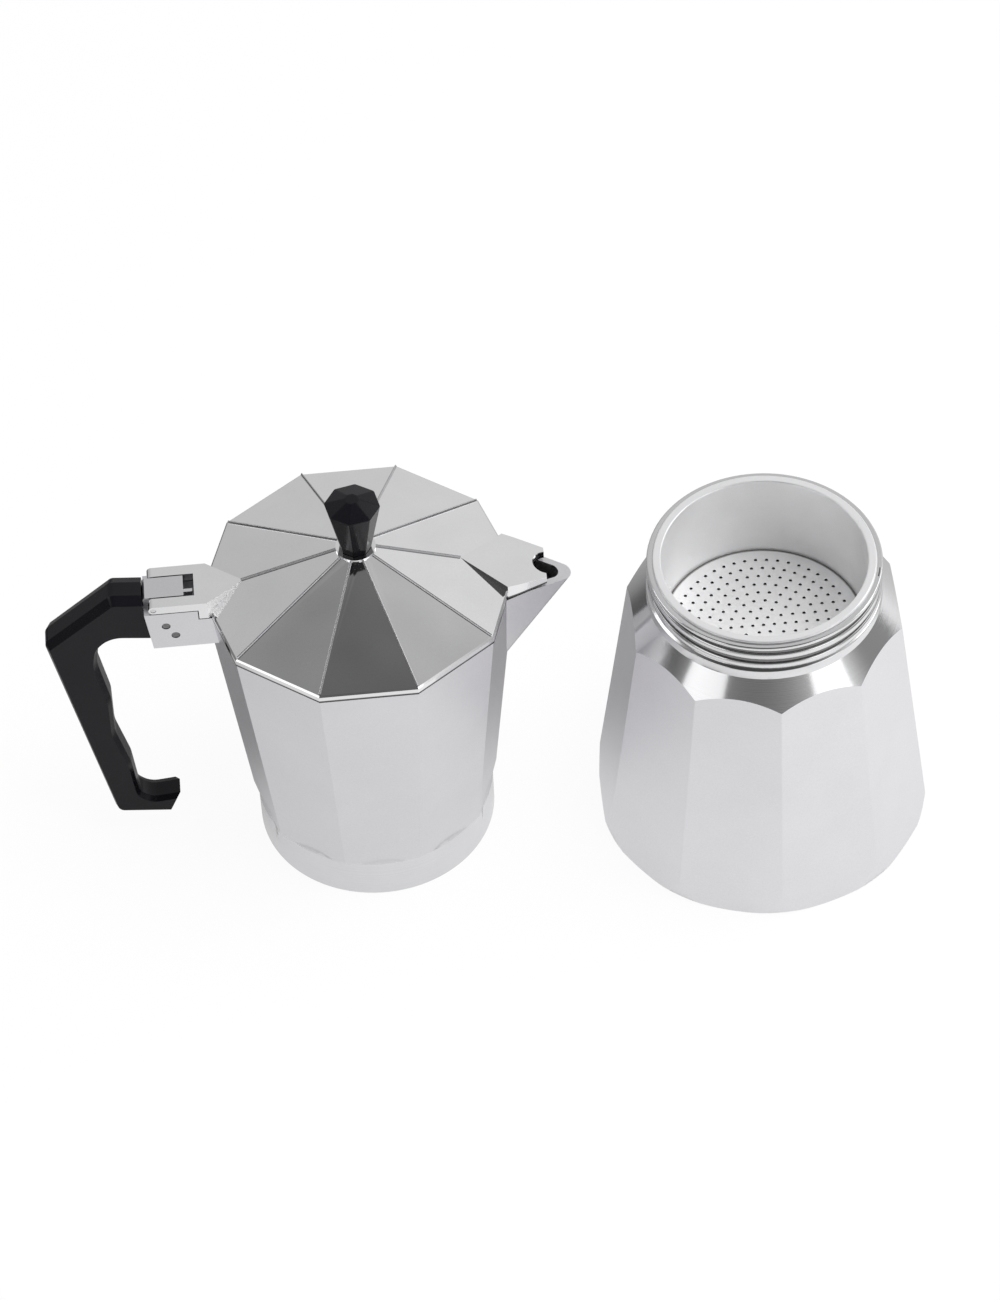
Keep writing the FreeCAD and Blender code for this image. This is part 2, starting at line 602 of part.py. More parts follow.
# Funnel: flanged cup with a cone, a pressed tube and a perforated sieve on the ledge.
funnel_cup = turned("funnel_cup", [
    ("flange_radius", "collar_top"),
    ("flange_radius", "collar_top + sheet_thick - 0.3"),
    ("flange_radius - 0.3", "collar_top + sheet_thick"),
    ("cup_outer - sheet_thick + 0.3", "collar_top + sheet_thick"),
    ("cup_outer - sheet_thick", "collar_top + sheet_thick - 0.3"),
    ("cup_outer - sheet_thick", "sieve_height"),
    ("cup_outer - sheet_thick - ledge", "sieve_height"),
    ("cup_outer - sheet_thick - ledge", "sieve_height - sheet_thick"),
    ("tube_outer + 0.05", "cone_foot"),
    ("tube_outer + 0.05", "neck_foot"),
    ("tube_outer + sheet_thick", "neck_foot"),
    ("tube_outer + sheet_thick", "cone_foot - 0.6"),
    ("cup_outer - ledge", "sieve_height - 2 * sheet_thick"),
    ("cup_outer", "sieve_height - sheet_thick + 0.5"),
    ("cup_outer", "collar_top"),
])
funnel_tube = turned("funnel_tube", [
    ("tube_bore", "tube_foot"),
    ("tube_outer", "tube_foot"),
    ("tube_outer", "cone_foot"),
    ("tube_bore", "cone_foot"),
])
sieve_disc = turned("sieve_disc", [
    ("0", "sieve_height"),
    ("cup_outer - sheet_thick - 0.05", "sieve_height"),
    ("cup_outer - sheet_thick - 0.05", "sieve_height + sheet_thick"),
    ("0", "sieve_height + sheet_thick"),
])
funnel_sieve = perforated(
    "funnel_sieve",
    sieve_disc,
    "sieve_height - 1",
    "sheet_thick + 2",
    "ring_pitch",
    [1, 6, 12, 18, 24, 31, 37, 43, 49],
)

# Jug: one casting with flat sides, a round foot, a spout, a column and the handle bracket.
jug_facets = facetted("jug_facets", "facets", "0", [("jug_narrow", "0"), ("jug_wide", "jug_rim")])
jug_envelope = turned("jug_envelope", [
    ("0", "0"),
    ("jug_base", "0"),
    ("jug_base", "jug_band"),
    ("envelope", "jug_band + envelope - jug_base"),
    ("envelope", "jug_rim"),
    ("0", "jug_rim"),
])
jug_flats = shared("jug_flats", jug_facets, jug_envelope)
jug_foot = turned("jug_foot", [
    ("0", "0"),
    ("jug_base - 0.5", "0"),
    ("jug_base", "0.5"),
    ("jug_base", "jug_band"),
    ("jug_base - jug_chamfer", "jug_band + jug_taper"),
    ("0", "jug_band + jug_taper"),
])
spout_beak = beak("spout_beak", [
    ("spout_back", "spout_low_half", "spout_low_reach", "nose_low", "spout_foot", (38, 2.4, 41.3, 0.8)),
    ("spout_back", "spout_half", "spout_reach", "nose_radius", "jug_rim", (38, 13.1, 64, 3.4)),
])
spout_slope = slab("spout_slope", [
    ("lip_start", "jug_rim"),
    ("spout_reach + 6", "jug_rim - lip_drop * (spout_reach + 6 - lip_start) / (spout_reach - lip_start)"),
    ("spout_reach + 6", "jug_rim + 5"),
    ("lip_start", "jug_rim + 5"),
], "40")
spout = cut("spout", spout_beak, spout_slope)
spout_way = beak("spout_way", [
    ("way_back", "way_low_half", "way_low_reach", "way_nose_low", "way_foot", (33, 4, 40.6, 0.6)),
    ("way_back", "way_half", "way_reach", "way_nose", "jug_rim + 0.5", (33, 12.4, 60.2, 2.8)),
])
bracket = slab("bracket", [
    ("-36", "bracket_foot"),
    ("bracket_end_low", "bracket_foot"),
    ("bracket_end_high", "bracket_top"),
    ("bracket_inner", "bracket_top"),
    ("bracket_inner", "jug_rim"),
    ("-36", "jug_rim"),
], "2 * bracket_half")
knuckle = slab("knuckle", [
    ("bracket_end_high", "bracket_top - 2"),
    ("knuckle_inner", "bracket_top - 2"),
    ("knuckle_inner", "hinge_top"),
    ("bracket_end_high + 0.6", "hinge_top"),
    ("bracket_end_high", "hinge_top - 0.6"),
], "2 * knuckle_half")
rib = block(
    "rib",
    "knuckle_inner - 1",
    "rib_across - rib_half",
    "bracket_top + 1",
    "rib_end - knuckle_inner + 1",
    "2 * rib_half",
    "hinge_top - bracket_top - 1.6",
)
pit = mid_block(
    "pit", "knuckle_inner", "slot_half", "pit_foot", "bracket_inner - knuckle_inner - 0.6", "bracket_top - pit_foot + 1"
)
handle_socket = mid_block(
    "handle_socket", "bracket_end_high - 3", "socket_half", "socket_foot",
    "socket_end - bracket_end_high + 3", "socket_top - socket_foot",
)
way_upper = cross_pin(
    "way_upper", "pin_radius + seat_gap", "bracket_half + 1", "pin_upper_along", "pin_upper_height"
)
way_lower = cross_pin(
    "way_lower", "pin_radius + seat_gap", "bracket_half + 1", "pin_lower_along", "pin_lower_height"
)
way_hinge = cross_pin(
    "way_hinge", "hinge_pin_radius + seat_gap / 2", "bracket_half + 1", "hinge_along", "hinge_height"
)
column = turned("column", [
    ("0", "chamber_floor - 2"),
    ("column_foot", "chamber_floor - 2"),
    ("column_foot", "chamber_floor + 1"),
    ("column_head", "column_top - 2"),
    ("column_head - 2", "column_top"),
    ("0", "column_top"),
])
chamber_inside = facetted("chamber_inside", "facets", "0", [
    ("jug_narrow - jug_wall + (jug_wide - jug_narrow) * chamber_floor / jug_rim", "chamber_floor"),
    ("jug_wide - jug_wall + (jug_wide - jug_narrow) / jug_rim", "jug_rim + 1"),
])
chamber_room = cut("chamber_room", joined("chamber_all", chamber_inside, spout_way), column)
jug_socket = turned("jug_socket", [
    ("0", "-1"),
    ("socket_radius", "-1"),
    ("socket_radius", "socket_depth - 0.6"),
    ("gasket_outer + seat_gap", "socket_depth"),
    ("gasket_outer + seat_gap", "gasket_top"),
    ("recess_wide", "gasket_top"),
    ("column_bore + 1", "recess_top"),
    ("0", "recess_top"),
])
column_way = turned("column_way", [
    ("0", "recess_top - 1"),
    ("column_bore + 1", "recess_top - 1"),
    ("column_bore", "column_top - outlet_drop"),
    ("column_bore", "column_top - outlet_drop + outlet_radius"),
    ("0", "column_top - outlet_drop + outlet_radius + 1.5"),
])
outlets = cross_pin("outlets", "outlet_radius", "column_foot + 1", "0", "column_top - outlet_drop")
jug_outside = joined("jug_outside", jug_flats, jug_foot, spout, bracket, knuckle)
jug_hollow = cut(
    "jug_hollow", jug_outside, chamber_room, jug_socket, column_way, outlets, pit, handle_socket, way_upper, way_lower
)
jug_body = on_jug(cut("jug_body", joined("jug_ribbed", jug_hollow, rib), way_hinge))

gasket = on_jug(turned("gasket", [
    ("gasket_inner", "socket_depth"),
    ("gasket_outer", "socket_depth"),
    ("gasket_outer", "gasket_top"),
    ("plate_flange + seat_gap", "gasket_top"),
    ("plate_flange + seat_gap", "gasket_top - plate_thick"),
    ("gasket_inner", "gasket_top - plate_thick"),
]))
plate_disc = turned("plate_disc", [
    ("0", "gasket_top - plate_drop - plate_thick"),
    ("plate_dish", "gasket_top - plate_drop - plate_thick"),
    ("plate_dish + 0.5", "gasket_top - plate_thick"),
    ("plate_flange", "gasket_top - plate_thick"),
    ("plate_flange", "gasket_top"),
    ("plate_dish", "gasket_top"),
    ("plate_dish - 0.5", "gasket_top - plate_drop"),
    ("0", "gasket_top - plate_drop"),
])
filter_plate = on_jug(perforated(
    "filter_plate",
    plate_disc,
    "gasket_top - plate_drop - plate_thick - 1",
    "plate_thick + 2",
    "plate_pitch",
    [1, 7, 14, 20, 27],
))

# Handle: moulded grip with sloped sides, a hook foot and a tongue pinned in the bracket.
grip_corners = [
    ("neck_end_along", "neck_end_height", None),
    ("elbow_high_along", "elbow_high_height", "elbow_round"),
    ("elbow_out_along", "elbow_out_height", "elbow_round"),
    ("heel_along", "heel_height", "elbow_round"),
    ("toe_along", "toe_height", None),
    ("tip_along", "tip_height", None),
    ("hollow_along", "hollow_height", "hook_round"),
    ("crook_along", "crook_height", "hook_round"),
    ("ridge_low_along", "ridge_low_height", "finger_round"),
    ("dip_along", "dip_height", "finger_round"),
    ("ridge_high_along", "ridge_high_height", "finger_round"),
    ("inner_along", "inner_height", "finger_round"),
    ("bend_along", "bend_height", "bend_round"),
    ("soffit_along", "soffit_height", "bend_round"),
    ("neck_end_along", "neck_foot_height", None),
]
grip = slab("grip", grip_corners, "2 * grip_core", "XZ_Plane", draw_rounded)
for side, label in ((1, "far"), (-1, "near")):
    outline = new_sketch(grip, "grip_%s_outline" % label, "XZ_Plane")
    draw_rounded(outline, grip_corners)
    bind(outline, AttachmentOffset__Base__z="%d * grip_core" % -side)
    flank = grip.newObject("PartDesign::Pad", "grip_%s_flank" % label)
    flank.Profile = outline
    flank.Reversed = side > 0
    bind(flank, Length="grip_side", TaperAngle="-grip_slope")
    grip.Tip = flank
grip_front = slab("grip_front", [
    ("-grip_half_low", "toe_height - 3"),
    ("grip_half_low", "toe_height - 3"),
    ("grip_half_high", "elbow_high_height + 2"),
    ("-grip_half_high", "elbow_high_height + 2"),
], "400", "YZ_Plane")
neck_trim = slab("neck_trim", [
    ("bracket_end_low - seat_gap - 0.23", "bracket_foot - 2"),
    ("bracket_end_low + 30", "bracket_foot - 2"),
    ("bracket_end_low + 30", "hinge_top + 4"),
    ("bracket_end_high - seat_gap - 0.58", "hinge_top + 4"),
], "40")
tongue = mid_block(
    "tongue",
    "bracket_end_high - 2",
    "socket_half - 2 * seat_gap",
    "socket_foot + 2 * seat_gap",
    "socket_end - bracket_end_high + 2 - 2 * seat_gap",
    "socket_top - socket_foot - 4 * seat_gap",
)
grip_shape = cut("grip_shape", shared("grip_sides", grip, grip_front), neck_trim)
eye_upper = cross_pin(
    "eye_upper", "pin_radius + seat_gap", "bracket_half + 1", "pin_upper_along", "pin_upper_height"
)
eye_lower = cross_pin(
    "eye_lower", "pin_radius + seat_gap", "bracket_half + 1", "pin_lower_along", "pin_lower_height"
)
handle = on_jug(cut("handle", joined("handle_whole", grip_shape, tongue), eye_upper, eye_lower))


def placed_pin(name, radius, half, along, height):
    pin = drum(name, radius, "2 * (%s)" % half, "0", "0", "0", True)
    return at(pin, "jug_along + " + along, "jug_across + " + half, height)


handle_pin_upper = placed_pin(
    "handle_pin_upper", "pin_radius", "bracket_half - 0.2", "pin_upper_along", "pin_upper_height"
)
handle_pin_lower = placed_pin(
    "handle_pin_lower", "pin_radius", "bracket_half - 0.2", "pin_lower_along", "pin_lower_height"
)
hinge_pin = placed_pin("hinge_pin", "hinge_pin_radius", "bracket_half - 0.1", "hinge_along", "hinge_height")

# Lid: low pyramid of flat sides with a spout cover, a hinge tab with two ears and a knob boss.
lid_roof = facetted("lid_roof", "facets", "0", [
    ("lid_radius", "lid_low"),
    ("lid_radius", "lid_edge"),
    ("lid_radius - lid_bevel", "lid_edge + lid_bevel"),
    ("crown_radius", "crown_height"),
])
lid_seat = drum("lid_seat", "lid_boss", "3", "0", "0", "lid_boss_top - 3")
cover_plan = slab("cover_plan", [
    ("cover_start", "0"),
    ("cover_rim_along", "-cover_rim_half"),
    ("cover_bend_along", "-cover_bend_half"),
    ("cover_end", "-cover_end_half"),
    ("cover_end", "cover_end_half"),
    ("cover_bend_along", "cover_bend_half"),
    ("cover_rim_along", "cover_rim_half"),
], "400", "XY_Plane")
cover_side = slab("cover_side", [
    ("cover_start - 1", "lid_low"),
    ("cover_end + 1", "lid_low"),
    ("cover_end + 1", "cover_end_height"),
    ("cover_start", "cover_start_height"),
    ("cover_start - 1", "cover_start_height"),
], "40")
cover = shared("cover", cover_plan, cover_side)
tab_plan = slab("tab_plan", [
    ("tab_start", "0"),
    ("tab_rim", "bracket_half"),
    ("hinge_along", "bracket_half"),
    ("hinge_along", "-bracket_half"),
    ("tab_rim", "-bracket_half"),
], "400", "XY_Plane")
tab_side = slab("tab_side", [
    ("tab_start + 1", "lid_low"),
    ("tab_drop", "lid_low"),
    ("tab_drop", "hinge_height - ear_radius"),
    ("hinge_along", "hinge_height - ear_radius"),
    ("hinge_along", "hinge_top"),
    ("tab_start + 1", "hinge_top"),
], "40")
ear_ends = cross_pin("ear_ends", "ear_radius", "bracket_half", "hinge_along", "hinge_height")
tab = joined("tab", shared("tab_plate", tab_plan, tab_side), ear_ends)
lid_hollow_shape = facetted("lid_hollow_shape", "facets", "0", [
    ("lid_hollow", "lid_low - 1"),
    ("lid_hollow", "hollow_edge"),
    ("hollow_crown", "hollow_top"),
])
lid_slot = mid_block("lid_slot", "hinge_along - 5", "slot_half", "lid_low - 1", "slot_end - hinge_along + 5", "12")
lid_mouth = drum("lid_mouth", "mouth_radius", "12", "mouth_along", "0", "lid_low - 2")
lid_screw_way = drum("lid_screw_way", "screw_radius + seat_gap", "12", "0", "0", "hollow_top - 4")
lid_hinge_way = cross_pin(
    "lid_hinge_way", "hinge_pin_radius + run_gap", "bracket_half + 1", "hinge_along", "hinge_height"
)
lid_outside = joined("lid_outside", lid_roof, lid_seat, cover, tab)
lid = on_jug(cut(
    "lid", lid_outside, lid_hollow_shape, lid_slot, lid_mouth, lid_screw_way, lid_hinge_way
))

# Knob: eight-sided grip held by a screw from inside the lid.
knob_solid = facetted("knob_solid", "8", "knob_turn", [
    ("knob_foot", "lid_boss_top"),
    ("knob_wide", "knob_edge"),
    ("knob_crown", "knob_top"),
])
knob_way = drum(
    "knob_way", "insert_radius + seat_gap / 2", "insert_top - lid_boss_top + 1.5", "0", "0", "lid_boss_top - 1"
)
knob = on_jug(cut("knob", knob_solid, knob_way))
knob_insert = on_jug(turned("knob_insert", [
    ("screw_radius + seat_gap / 2", "lid_boss_top"),
    ("insert_radius", "lid_boss_top"),
    ("insert_radius", "insert_top"),
    ("screw_radius + seat_gap / 2", "insert_top"),
]))
knob_screw = on_jug(turned("knob_screw", [
    ("0", "hollow_top - washer_thick - screw_head_thick"),
    ("screw_head - 0.7", "hollow_top - washer_thick - screw_head_thick"),
    ("screw_head", "hollow_top - washer_thick - screw_head_thick + 0.8"),
    ("screw_head", "hollow_top - washer_thick"),
    ("screw_radius", "hollow_top - washer_thick"),
    ("screw_radius", "screw_top"),
    ("0", "screw_top"),
]))
knob_washer = on_jug(turned("knob_washer", [
    ("screw_radius + seat_gap", "hollow_top - washer_thick"),
    ("washer_radius", "hollow_top - washer_thick"),
    ("washer_radius", "hollow_top"),
    ("screw_radius + seat_gap", "hollow_top"),
]))

doc.recompute()

nodes = [
    boiler, valve_body, valve_seal, valve_cap, valve_spring, valve_pin,
    funnel_cup, funnel_tube, funnel_sieve,
    jug_body, gasket, filter_plate, handle, handle_pin_upper, handle_pin_lower, hinge_pin,
    lid, knob, knob_insert, knob_screw, knob_washer,
]
for thing in doc.Objects:
    if "Invalid" in thing.State or "Error" in thing.State:
        raise RuntimeError("not made: " + thing.Name)
os.makedirs("parts", exist_ok=True)
for node in nodes:
    shape = node.Shape
    if shape.isNull() or not shape.isValid() or not shape.Solids:
        raise RuntimeError("not a sound solid: " + node.Name)
    node.Label = node.Name
    shape.exportStep("parts/%s.step" % node.Name)
    box = shape.BoundBox
    print("%-18s solids %d volume %9.1f box %7.1f %7.1f %7.1f to %7.1f %7.1f %7.1f" % (
        node.Name, len(shape.Solids), shape.Volume,
        box.XMin, box.YMin, box.ZMin, box.XMax, box.YMax, box.ZMax,
    ))
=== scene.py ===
import math
import bmesh
import bpy
from mathutils import Matrix, Vector


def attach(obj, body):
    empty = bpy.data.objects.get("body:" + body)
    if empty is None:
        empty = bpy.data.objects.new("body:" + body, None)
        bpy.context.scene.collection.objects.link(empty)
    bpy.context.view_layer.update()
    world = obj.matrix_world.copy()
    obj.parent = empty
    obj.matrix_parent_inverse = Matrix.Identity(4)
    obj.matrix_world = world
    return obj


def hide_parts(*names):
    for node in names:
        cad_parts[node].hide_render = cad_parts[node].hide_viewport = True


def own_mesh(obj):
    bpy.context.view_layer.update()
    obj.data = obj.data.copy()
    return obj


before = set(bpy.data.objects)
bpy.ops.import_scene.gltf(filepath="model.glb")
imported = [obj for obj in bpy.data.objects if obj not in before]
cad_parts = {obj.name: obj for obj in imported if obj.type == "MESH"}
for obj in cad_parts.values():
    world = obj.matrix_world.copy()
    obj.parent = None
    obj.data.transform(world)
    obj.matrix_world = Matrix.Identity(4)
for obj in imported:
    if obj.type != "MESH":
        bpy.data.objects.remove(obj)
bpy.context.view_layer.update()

scene = bpy.context.scene
scene.view_settings.view_transform = "Standard"
mm = 0.001
jugCentre = (-119.0 * mm, 7.4 * mm)
boilerCentre = (0.0, 0.0)
print("frame loaded")


# camera at the photograph's angle
cameraValues = {
    "elevation": 49.21, "turn": 2.686, "roll": -3.061,
    "distance": 1.44605, "target": (-0.07588, 0.06487, 0.0),
    "lens": 162.9, "sensor": 36.0, "clip": (0.05, 30.0),
}


def makeCamera(v):
    e, p = math.radians(v["elevation"]), math.radians(v["turn"])
    back = Vector((-math.cos(e) * math.sin(p), -math.cos(e) * math.cos(p), math.sin(e)))
    right = Vector((math.cos(p), -math.sin(p), 0))
    up = back.cross(right)
    c, s = math.cos(math.radians(v["roll"])), math.sin(math.radians(v["roll"]))
    across, above = c * right + s * up, c * up - s * right
    data = bpy.data.cameras.new("photoCamera")
    data.lens, data.sensor_width, data.sensor_fit = v["lens"], v["sensor"], "HORIZONTAL"
    data.clip_start, data.clip_end = v["clip"]
    camera = bpy.data.objects.new("photoCamera", data)
    scene.collection.objects.link(camera)
    place = Vector(v["target"]) + back * v["distance"]
    turn = Matrix((across, above, back)).transposed().to_4x4()
    camera.matrix_world = Matrix.Translation(place) @ turn
    scene.camera = camera


makeCamera(cameraValues)
print("camera placed")


# shader helpers
def addNode(tree, kind, x=0, y=0, **settings):
    node = tree.nodes.new(kind)
    node.location = (x, y)
    for key, value in settings.items():
        setattr(node, key, value)
    return node


def newGroup(name, kind, inputs, outputs=()):
    tree = bpy.data.node_groups.new(name, kind)
    for inputName, value in inputs:
        socket = tree.interface.new_socket(inputName, in_out="INPUT", socket_type="NodeSocketFloat")
        socket.default_value = value
    for outputName in outputs:
        tree.interface.new_socket(outputName, in_out="OUTPUT", socket_type="NodeSocketFloat")
    return tree


def metalBreakUpGroup():
    # cloudy tone and fine grain that all finishes share
    tree = newGroup("metalBreakUp", "ShaderNodeTree",
                    (("Cloud Scale", 40.0), ("Grain Scale", 1500.0), ("Grain Share", 0.5)), ("Tone", "Height"))
    given = addNode(tree, "NodeGroupInput", -700, 0)
    result = addNode(tree, "NodeGroupOutput", 500, 0)
    place = addNode(tree, "ShaderNodeTexCoord", -700, -250)
    cloud = addNode(tree, "ShaderNodeTexNoise", -400, 150)
    grain = addNode(tree, "ShaderNodeTexNoise", -400, -150)
    cloud.inputs["Detail"].default_value = 3.0
    grain.inputs["Detail"].default_value = 4.0
    mixed = addNode(tree, "ShaderNodeMix", 0, 0, data_type="FLOAT")
    link = tree.links.new
    link(place.outputs["Object"], cloud.inputs["Vector"])
    link(place.outputs["Object"], grain.inputs["Vector"])
    link(given.outputs["Cloud Scale"], cloud.inputs["Scale"])
    link(given.outputs["Grain Scale"], grain.inputs["Scale"])
    link(given.outputs["Grain Share"], mixed.inputs["Factor"])
    link(cloud.outputs["Fac"], mixed.inputs["A"])
    link(grain.outputs["Fac"], mixed.inputs["B"])
    link(mixed.outputs["Result"], result.inputs["Tone"])
    link(grain.outputs["Fac"], result.inputs["Height"])
    return tree


def axisDistance(tree, given):
    # distance from an upright axis, and height
    place = addNode(tree, "ShaderNodeTexCoord", -900, -250)
    parts = addNode(tree, "ShaderNodeSeparateXYZ", -700, -250)
    fromX = addNode(tree, "ShaderNodeMath", -500, 100, operation="SUBTRACT")
    fromY = addNode(tree, "ShaderNodeMath", -500, -60, operation="SUBTRACT")
    joined = addNode(tree, "ShaderNodeCombineXYZ", -300, 0)
    radius = addNode(tree, "ShaderNodeVectorMath", -120, 0, operation="LENGTH")
    link = tree.links.new
    link(place.outputs["Object"], parts.inputs["Vector"])
    link(parts.outputs["X"], fromX.inputs[0])
    link(given.outputs["Centre X"], fromX.inputs[1])
    link(parts.outputs["Y"], fromY.inputs[0])
    link(given.outputs["Centre Y"], fromY.inputs[1])
    link(fromX.outputs[0], joined.inputs["X"])
    link(fromY.outputs[0], joined.inputs["Y"])
    link(joined.outputs[0], radius.inputs[0])
    return radius.outputs["Value"], parts.outputs["Z"]


def turnedLinesGroup():
    # lathe lines round an upright axis, by distance from it and by height
    tree = newGroup("turnedLines", "ShaderNodeTree",
                    (("Centre X", 0.0), ("Centre Y", 0.0), ("Line Scale", 2500.0)), ("Line",))
    given = addNode(tree, "NodeGroupInput", -900, 0)
    result = addNode(tree, "NodeGroupOutput", 700, 0)
    radius, height = axisDistance(tree, given)
    alongSlope = addNode(tree, "ShaderNodeMath", 60, 0, operation="SUBTRACT")
    line = addNode(tree, "ShaderNodeTexNoise", 300, 0, noise_dimensions="1D")
    line.inputs["Detail"].default_value = 2.0
    link = tree.links.new
    link(radius, alongSlope.inputs[0])
    link(height, alongSlope.inputs[1])
    link(alongSlope.outputs[0], line.inputs["W"])
    link(given.outputs["Line Scale"], line.inputs["Scale"])
    link(line.outputs["Fac"], result.inputs["Line"])
    return tree


def paintedShadeGroup():
    # painted shade: a dark band over a gap or a thread's grooves, by height or by distance from an upright axis
    tree = newGroup("paintedShadeLine", "ShaderNodeTree",
                    (("Centre X", 0.0), ("Centre Y", 0.0), ("By Radius", 0.0),
                     ("Clean At", 0.0), ("Dark At", 1.0)), ("Mask",))
    given = addNode(tree, "NodeGroupInput", -900, 0)
    result = addNode(tree, "NodeGroupOutput", 500, 0)
    radius, height = axisDistance(tree, given)
    chosen = addNode(tree, "ShaderNodeMix", 60, 0, data_type="FLOAT")
    mask = addNode(tree, "ShaderNodeMapRange", 260, 0)
    link = tree.links.new
    link(given.outputs["By Radius"], chosen.inputs["Factor"])
    link(height, chosen.inputs["A"])
    link(radius, chosen.inputs["B"])
    link(chosen.outputs["Result"], mask.inputs["Value"])
    link(given.outputs["Clean At"], mask.inputs["From Min"])
    link(given.outputs["Dark At"], mask.inputs["From Max"])
    link(mask.outputs["Result"], result.inputs["Mask"])
    return tree


breakUp = metalBreakUpGroup()
turnedLines = turnedLinesGroup()
paintedShadeLine = paintedShadeGroup()


reliefValues = {"noiseLow": 0.3, "noiseHigh": 0.7, "grainDepth": 0.2 * mm, "waveDepth": 1.0 * mm, "lineShare": 0.5}


def ranged(tree, source, low, high, x=0, y=0):
    node = addNode(tree, "ShaderNodeMapRange", x, y)
    node.inputs["From Min"].default_value = reliefValues["noiseLow"]
    node.inputs["From Max"].default_value = reliefValues["noiseHigh"]
    node.inputs["To Min"].default_value = low
    node.inputs["To Max"].default_value = high
    tree.links.new(source, node.inputs["Value"])
    return node.outputs["Result"]


def toned(tree, source, dark, light, x=0, y=0):
    # dark is a colour, or the socket of one
    node = addNode(tree, "ShaderNodeMix", x, y, data_type="RGBA")
    colours = [s for s in node.inputs if s.type == "RGBA"]
    if isinstance(dark, tuple):
        colours[0].default_value = (*dark, 1)
    else:
        tree.links.new(dark, colours[0])
    colours[1].default_value = (*light, 1)
    tree.links.new(source, node.inputs["Factor"])
    return next(s for s in node.outputs if s.type == "RGBA")


def makeFinish(name, v):
    # tone, roughness and relief all vary over the surface
    material = bpy.data.materials.new(name)
    material.use_nodes = True
    tree = material.node_tree
    shader = tree.nodes["Principled BSDF"]
    shader.inputs["Metallic"].default_value = v["metal"]
    for key, value in v.get("sockets", {}).items():
        shader.inputs[key].default_value = value
    cloud = addNode(tree, "ShaderNodeGroup", -900, 0, node_tree=breakUp)
    cloud.inputs["Cloud Scale"].default_value = v["cloud"]
    cloud.inputs["Grain Scale"].default_value = v["grain"]
    cloud.inputs["Grain Share"].default_value = v["grainShare"]
    tone, height = cloud.outputs["Tone"], cloud.outputs["Height"]
    if "centre" in v:
        lathe = addNode(tree, "ShaderNodeGroup", -900, -260, node_tree=turnedLines)
        lathe.inputs["Centre X"].default_value = v["centre"][0]
        lathe.inputs["Centre Y"].default_value = v["centre"][1]
        lathe.inputs["Line Scale"].default_value = v["lines"]
        height = lathe.outputs["Line"]
        both = addNode(tree, "ShaderNodeMix", -650, -120, data_type="FLOAT")
        both.inputs["Factor"].default_value = reliefValues["lineShare"]
        tree.links.new(tone, both.inputs["A"])
        tree.links.new(height, both.inputs["B"])
        tone = both.outputs["Result"]
    colour = toned(tree, ranged(tree, tone, 0, 1, -620, 200), v["dark"], v["light"], -400, 200)
    # painted shade: the colour darkens towards the painted shade tone where the mask rises
    if "paintedShade" in v:
        paintedShade = addNode(tree, "ShaderNodeGroup", -620, 450, node_tree=paintedShadeLine)
        for key, value in v["paintedShade"].items():
            paintedShade.inputs[key].default_value = value
        colour = toned(tree, paintedShade.outputs["Mask"], colour, v["paintedShadeTone"], -180, 300)
    tree.links.new(colour, shader.inputs["Base Color"])
    tree.links.new(ranged(tree, tone, *v["rough"], -400, 0), shader.inputs["Roughness"])
    relief = addNode(tree, "ShaderNodeBump", -300, -260)
    relief.inputs["Strength"].default_value = v["relief"]
    relief.inputs["Distance"].default_value = reliefValues["grainDepth"]
    tree.links.new(height, relief.inputs["Height"])
    tree.links.new(relief.outputs["Normal"], shader.inputs["Normal"])
    if "wave" in v:
        place = addNode(tree, "ShaderNodeTexCoord", -900, -600)
        swell = addNode(tree, "ShaderNodeTexNoise", -700, -600)
        swell.inputs["Scale"].default_value = v["wave"]
        swell.inputs["Detail"].default_value = 1.0
        bulge = addNode(tree, "ShaderNodeBump", -500, -500)
        bulge.inputs["Strength"].default_value = v["waveRise"]
        bulge.inputs["Distance"].default_value = reliefValues["waveDepth"]
        tree.links.new(place.outputs["Object"], swell.inputs["Vector"])
        tree.links.new(swell.outputs["Fac"], bulge.inputs["Height"])
        tree.links.new(bulge.outputs["Normal"], relief.inputs["Normal"])
    return material


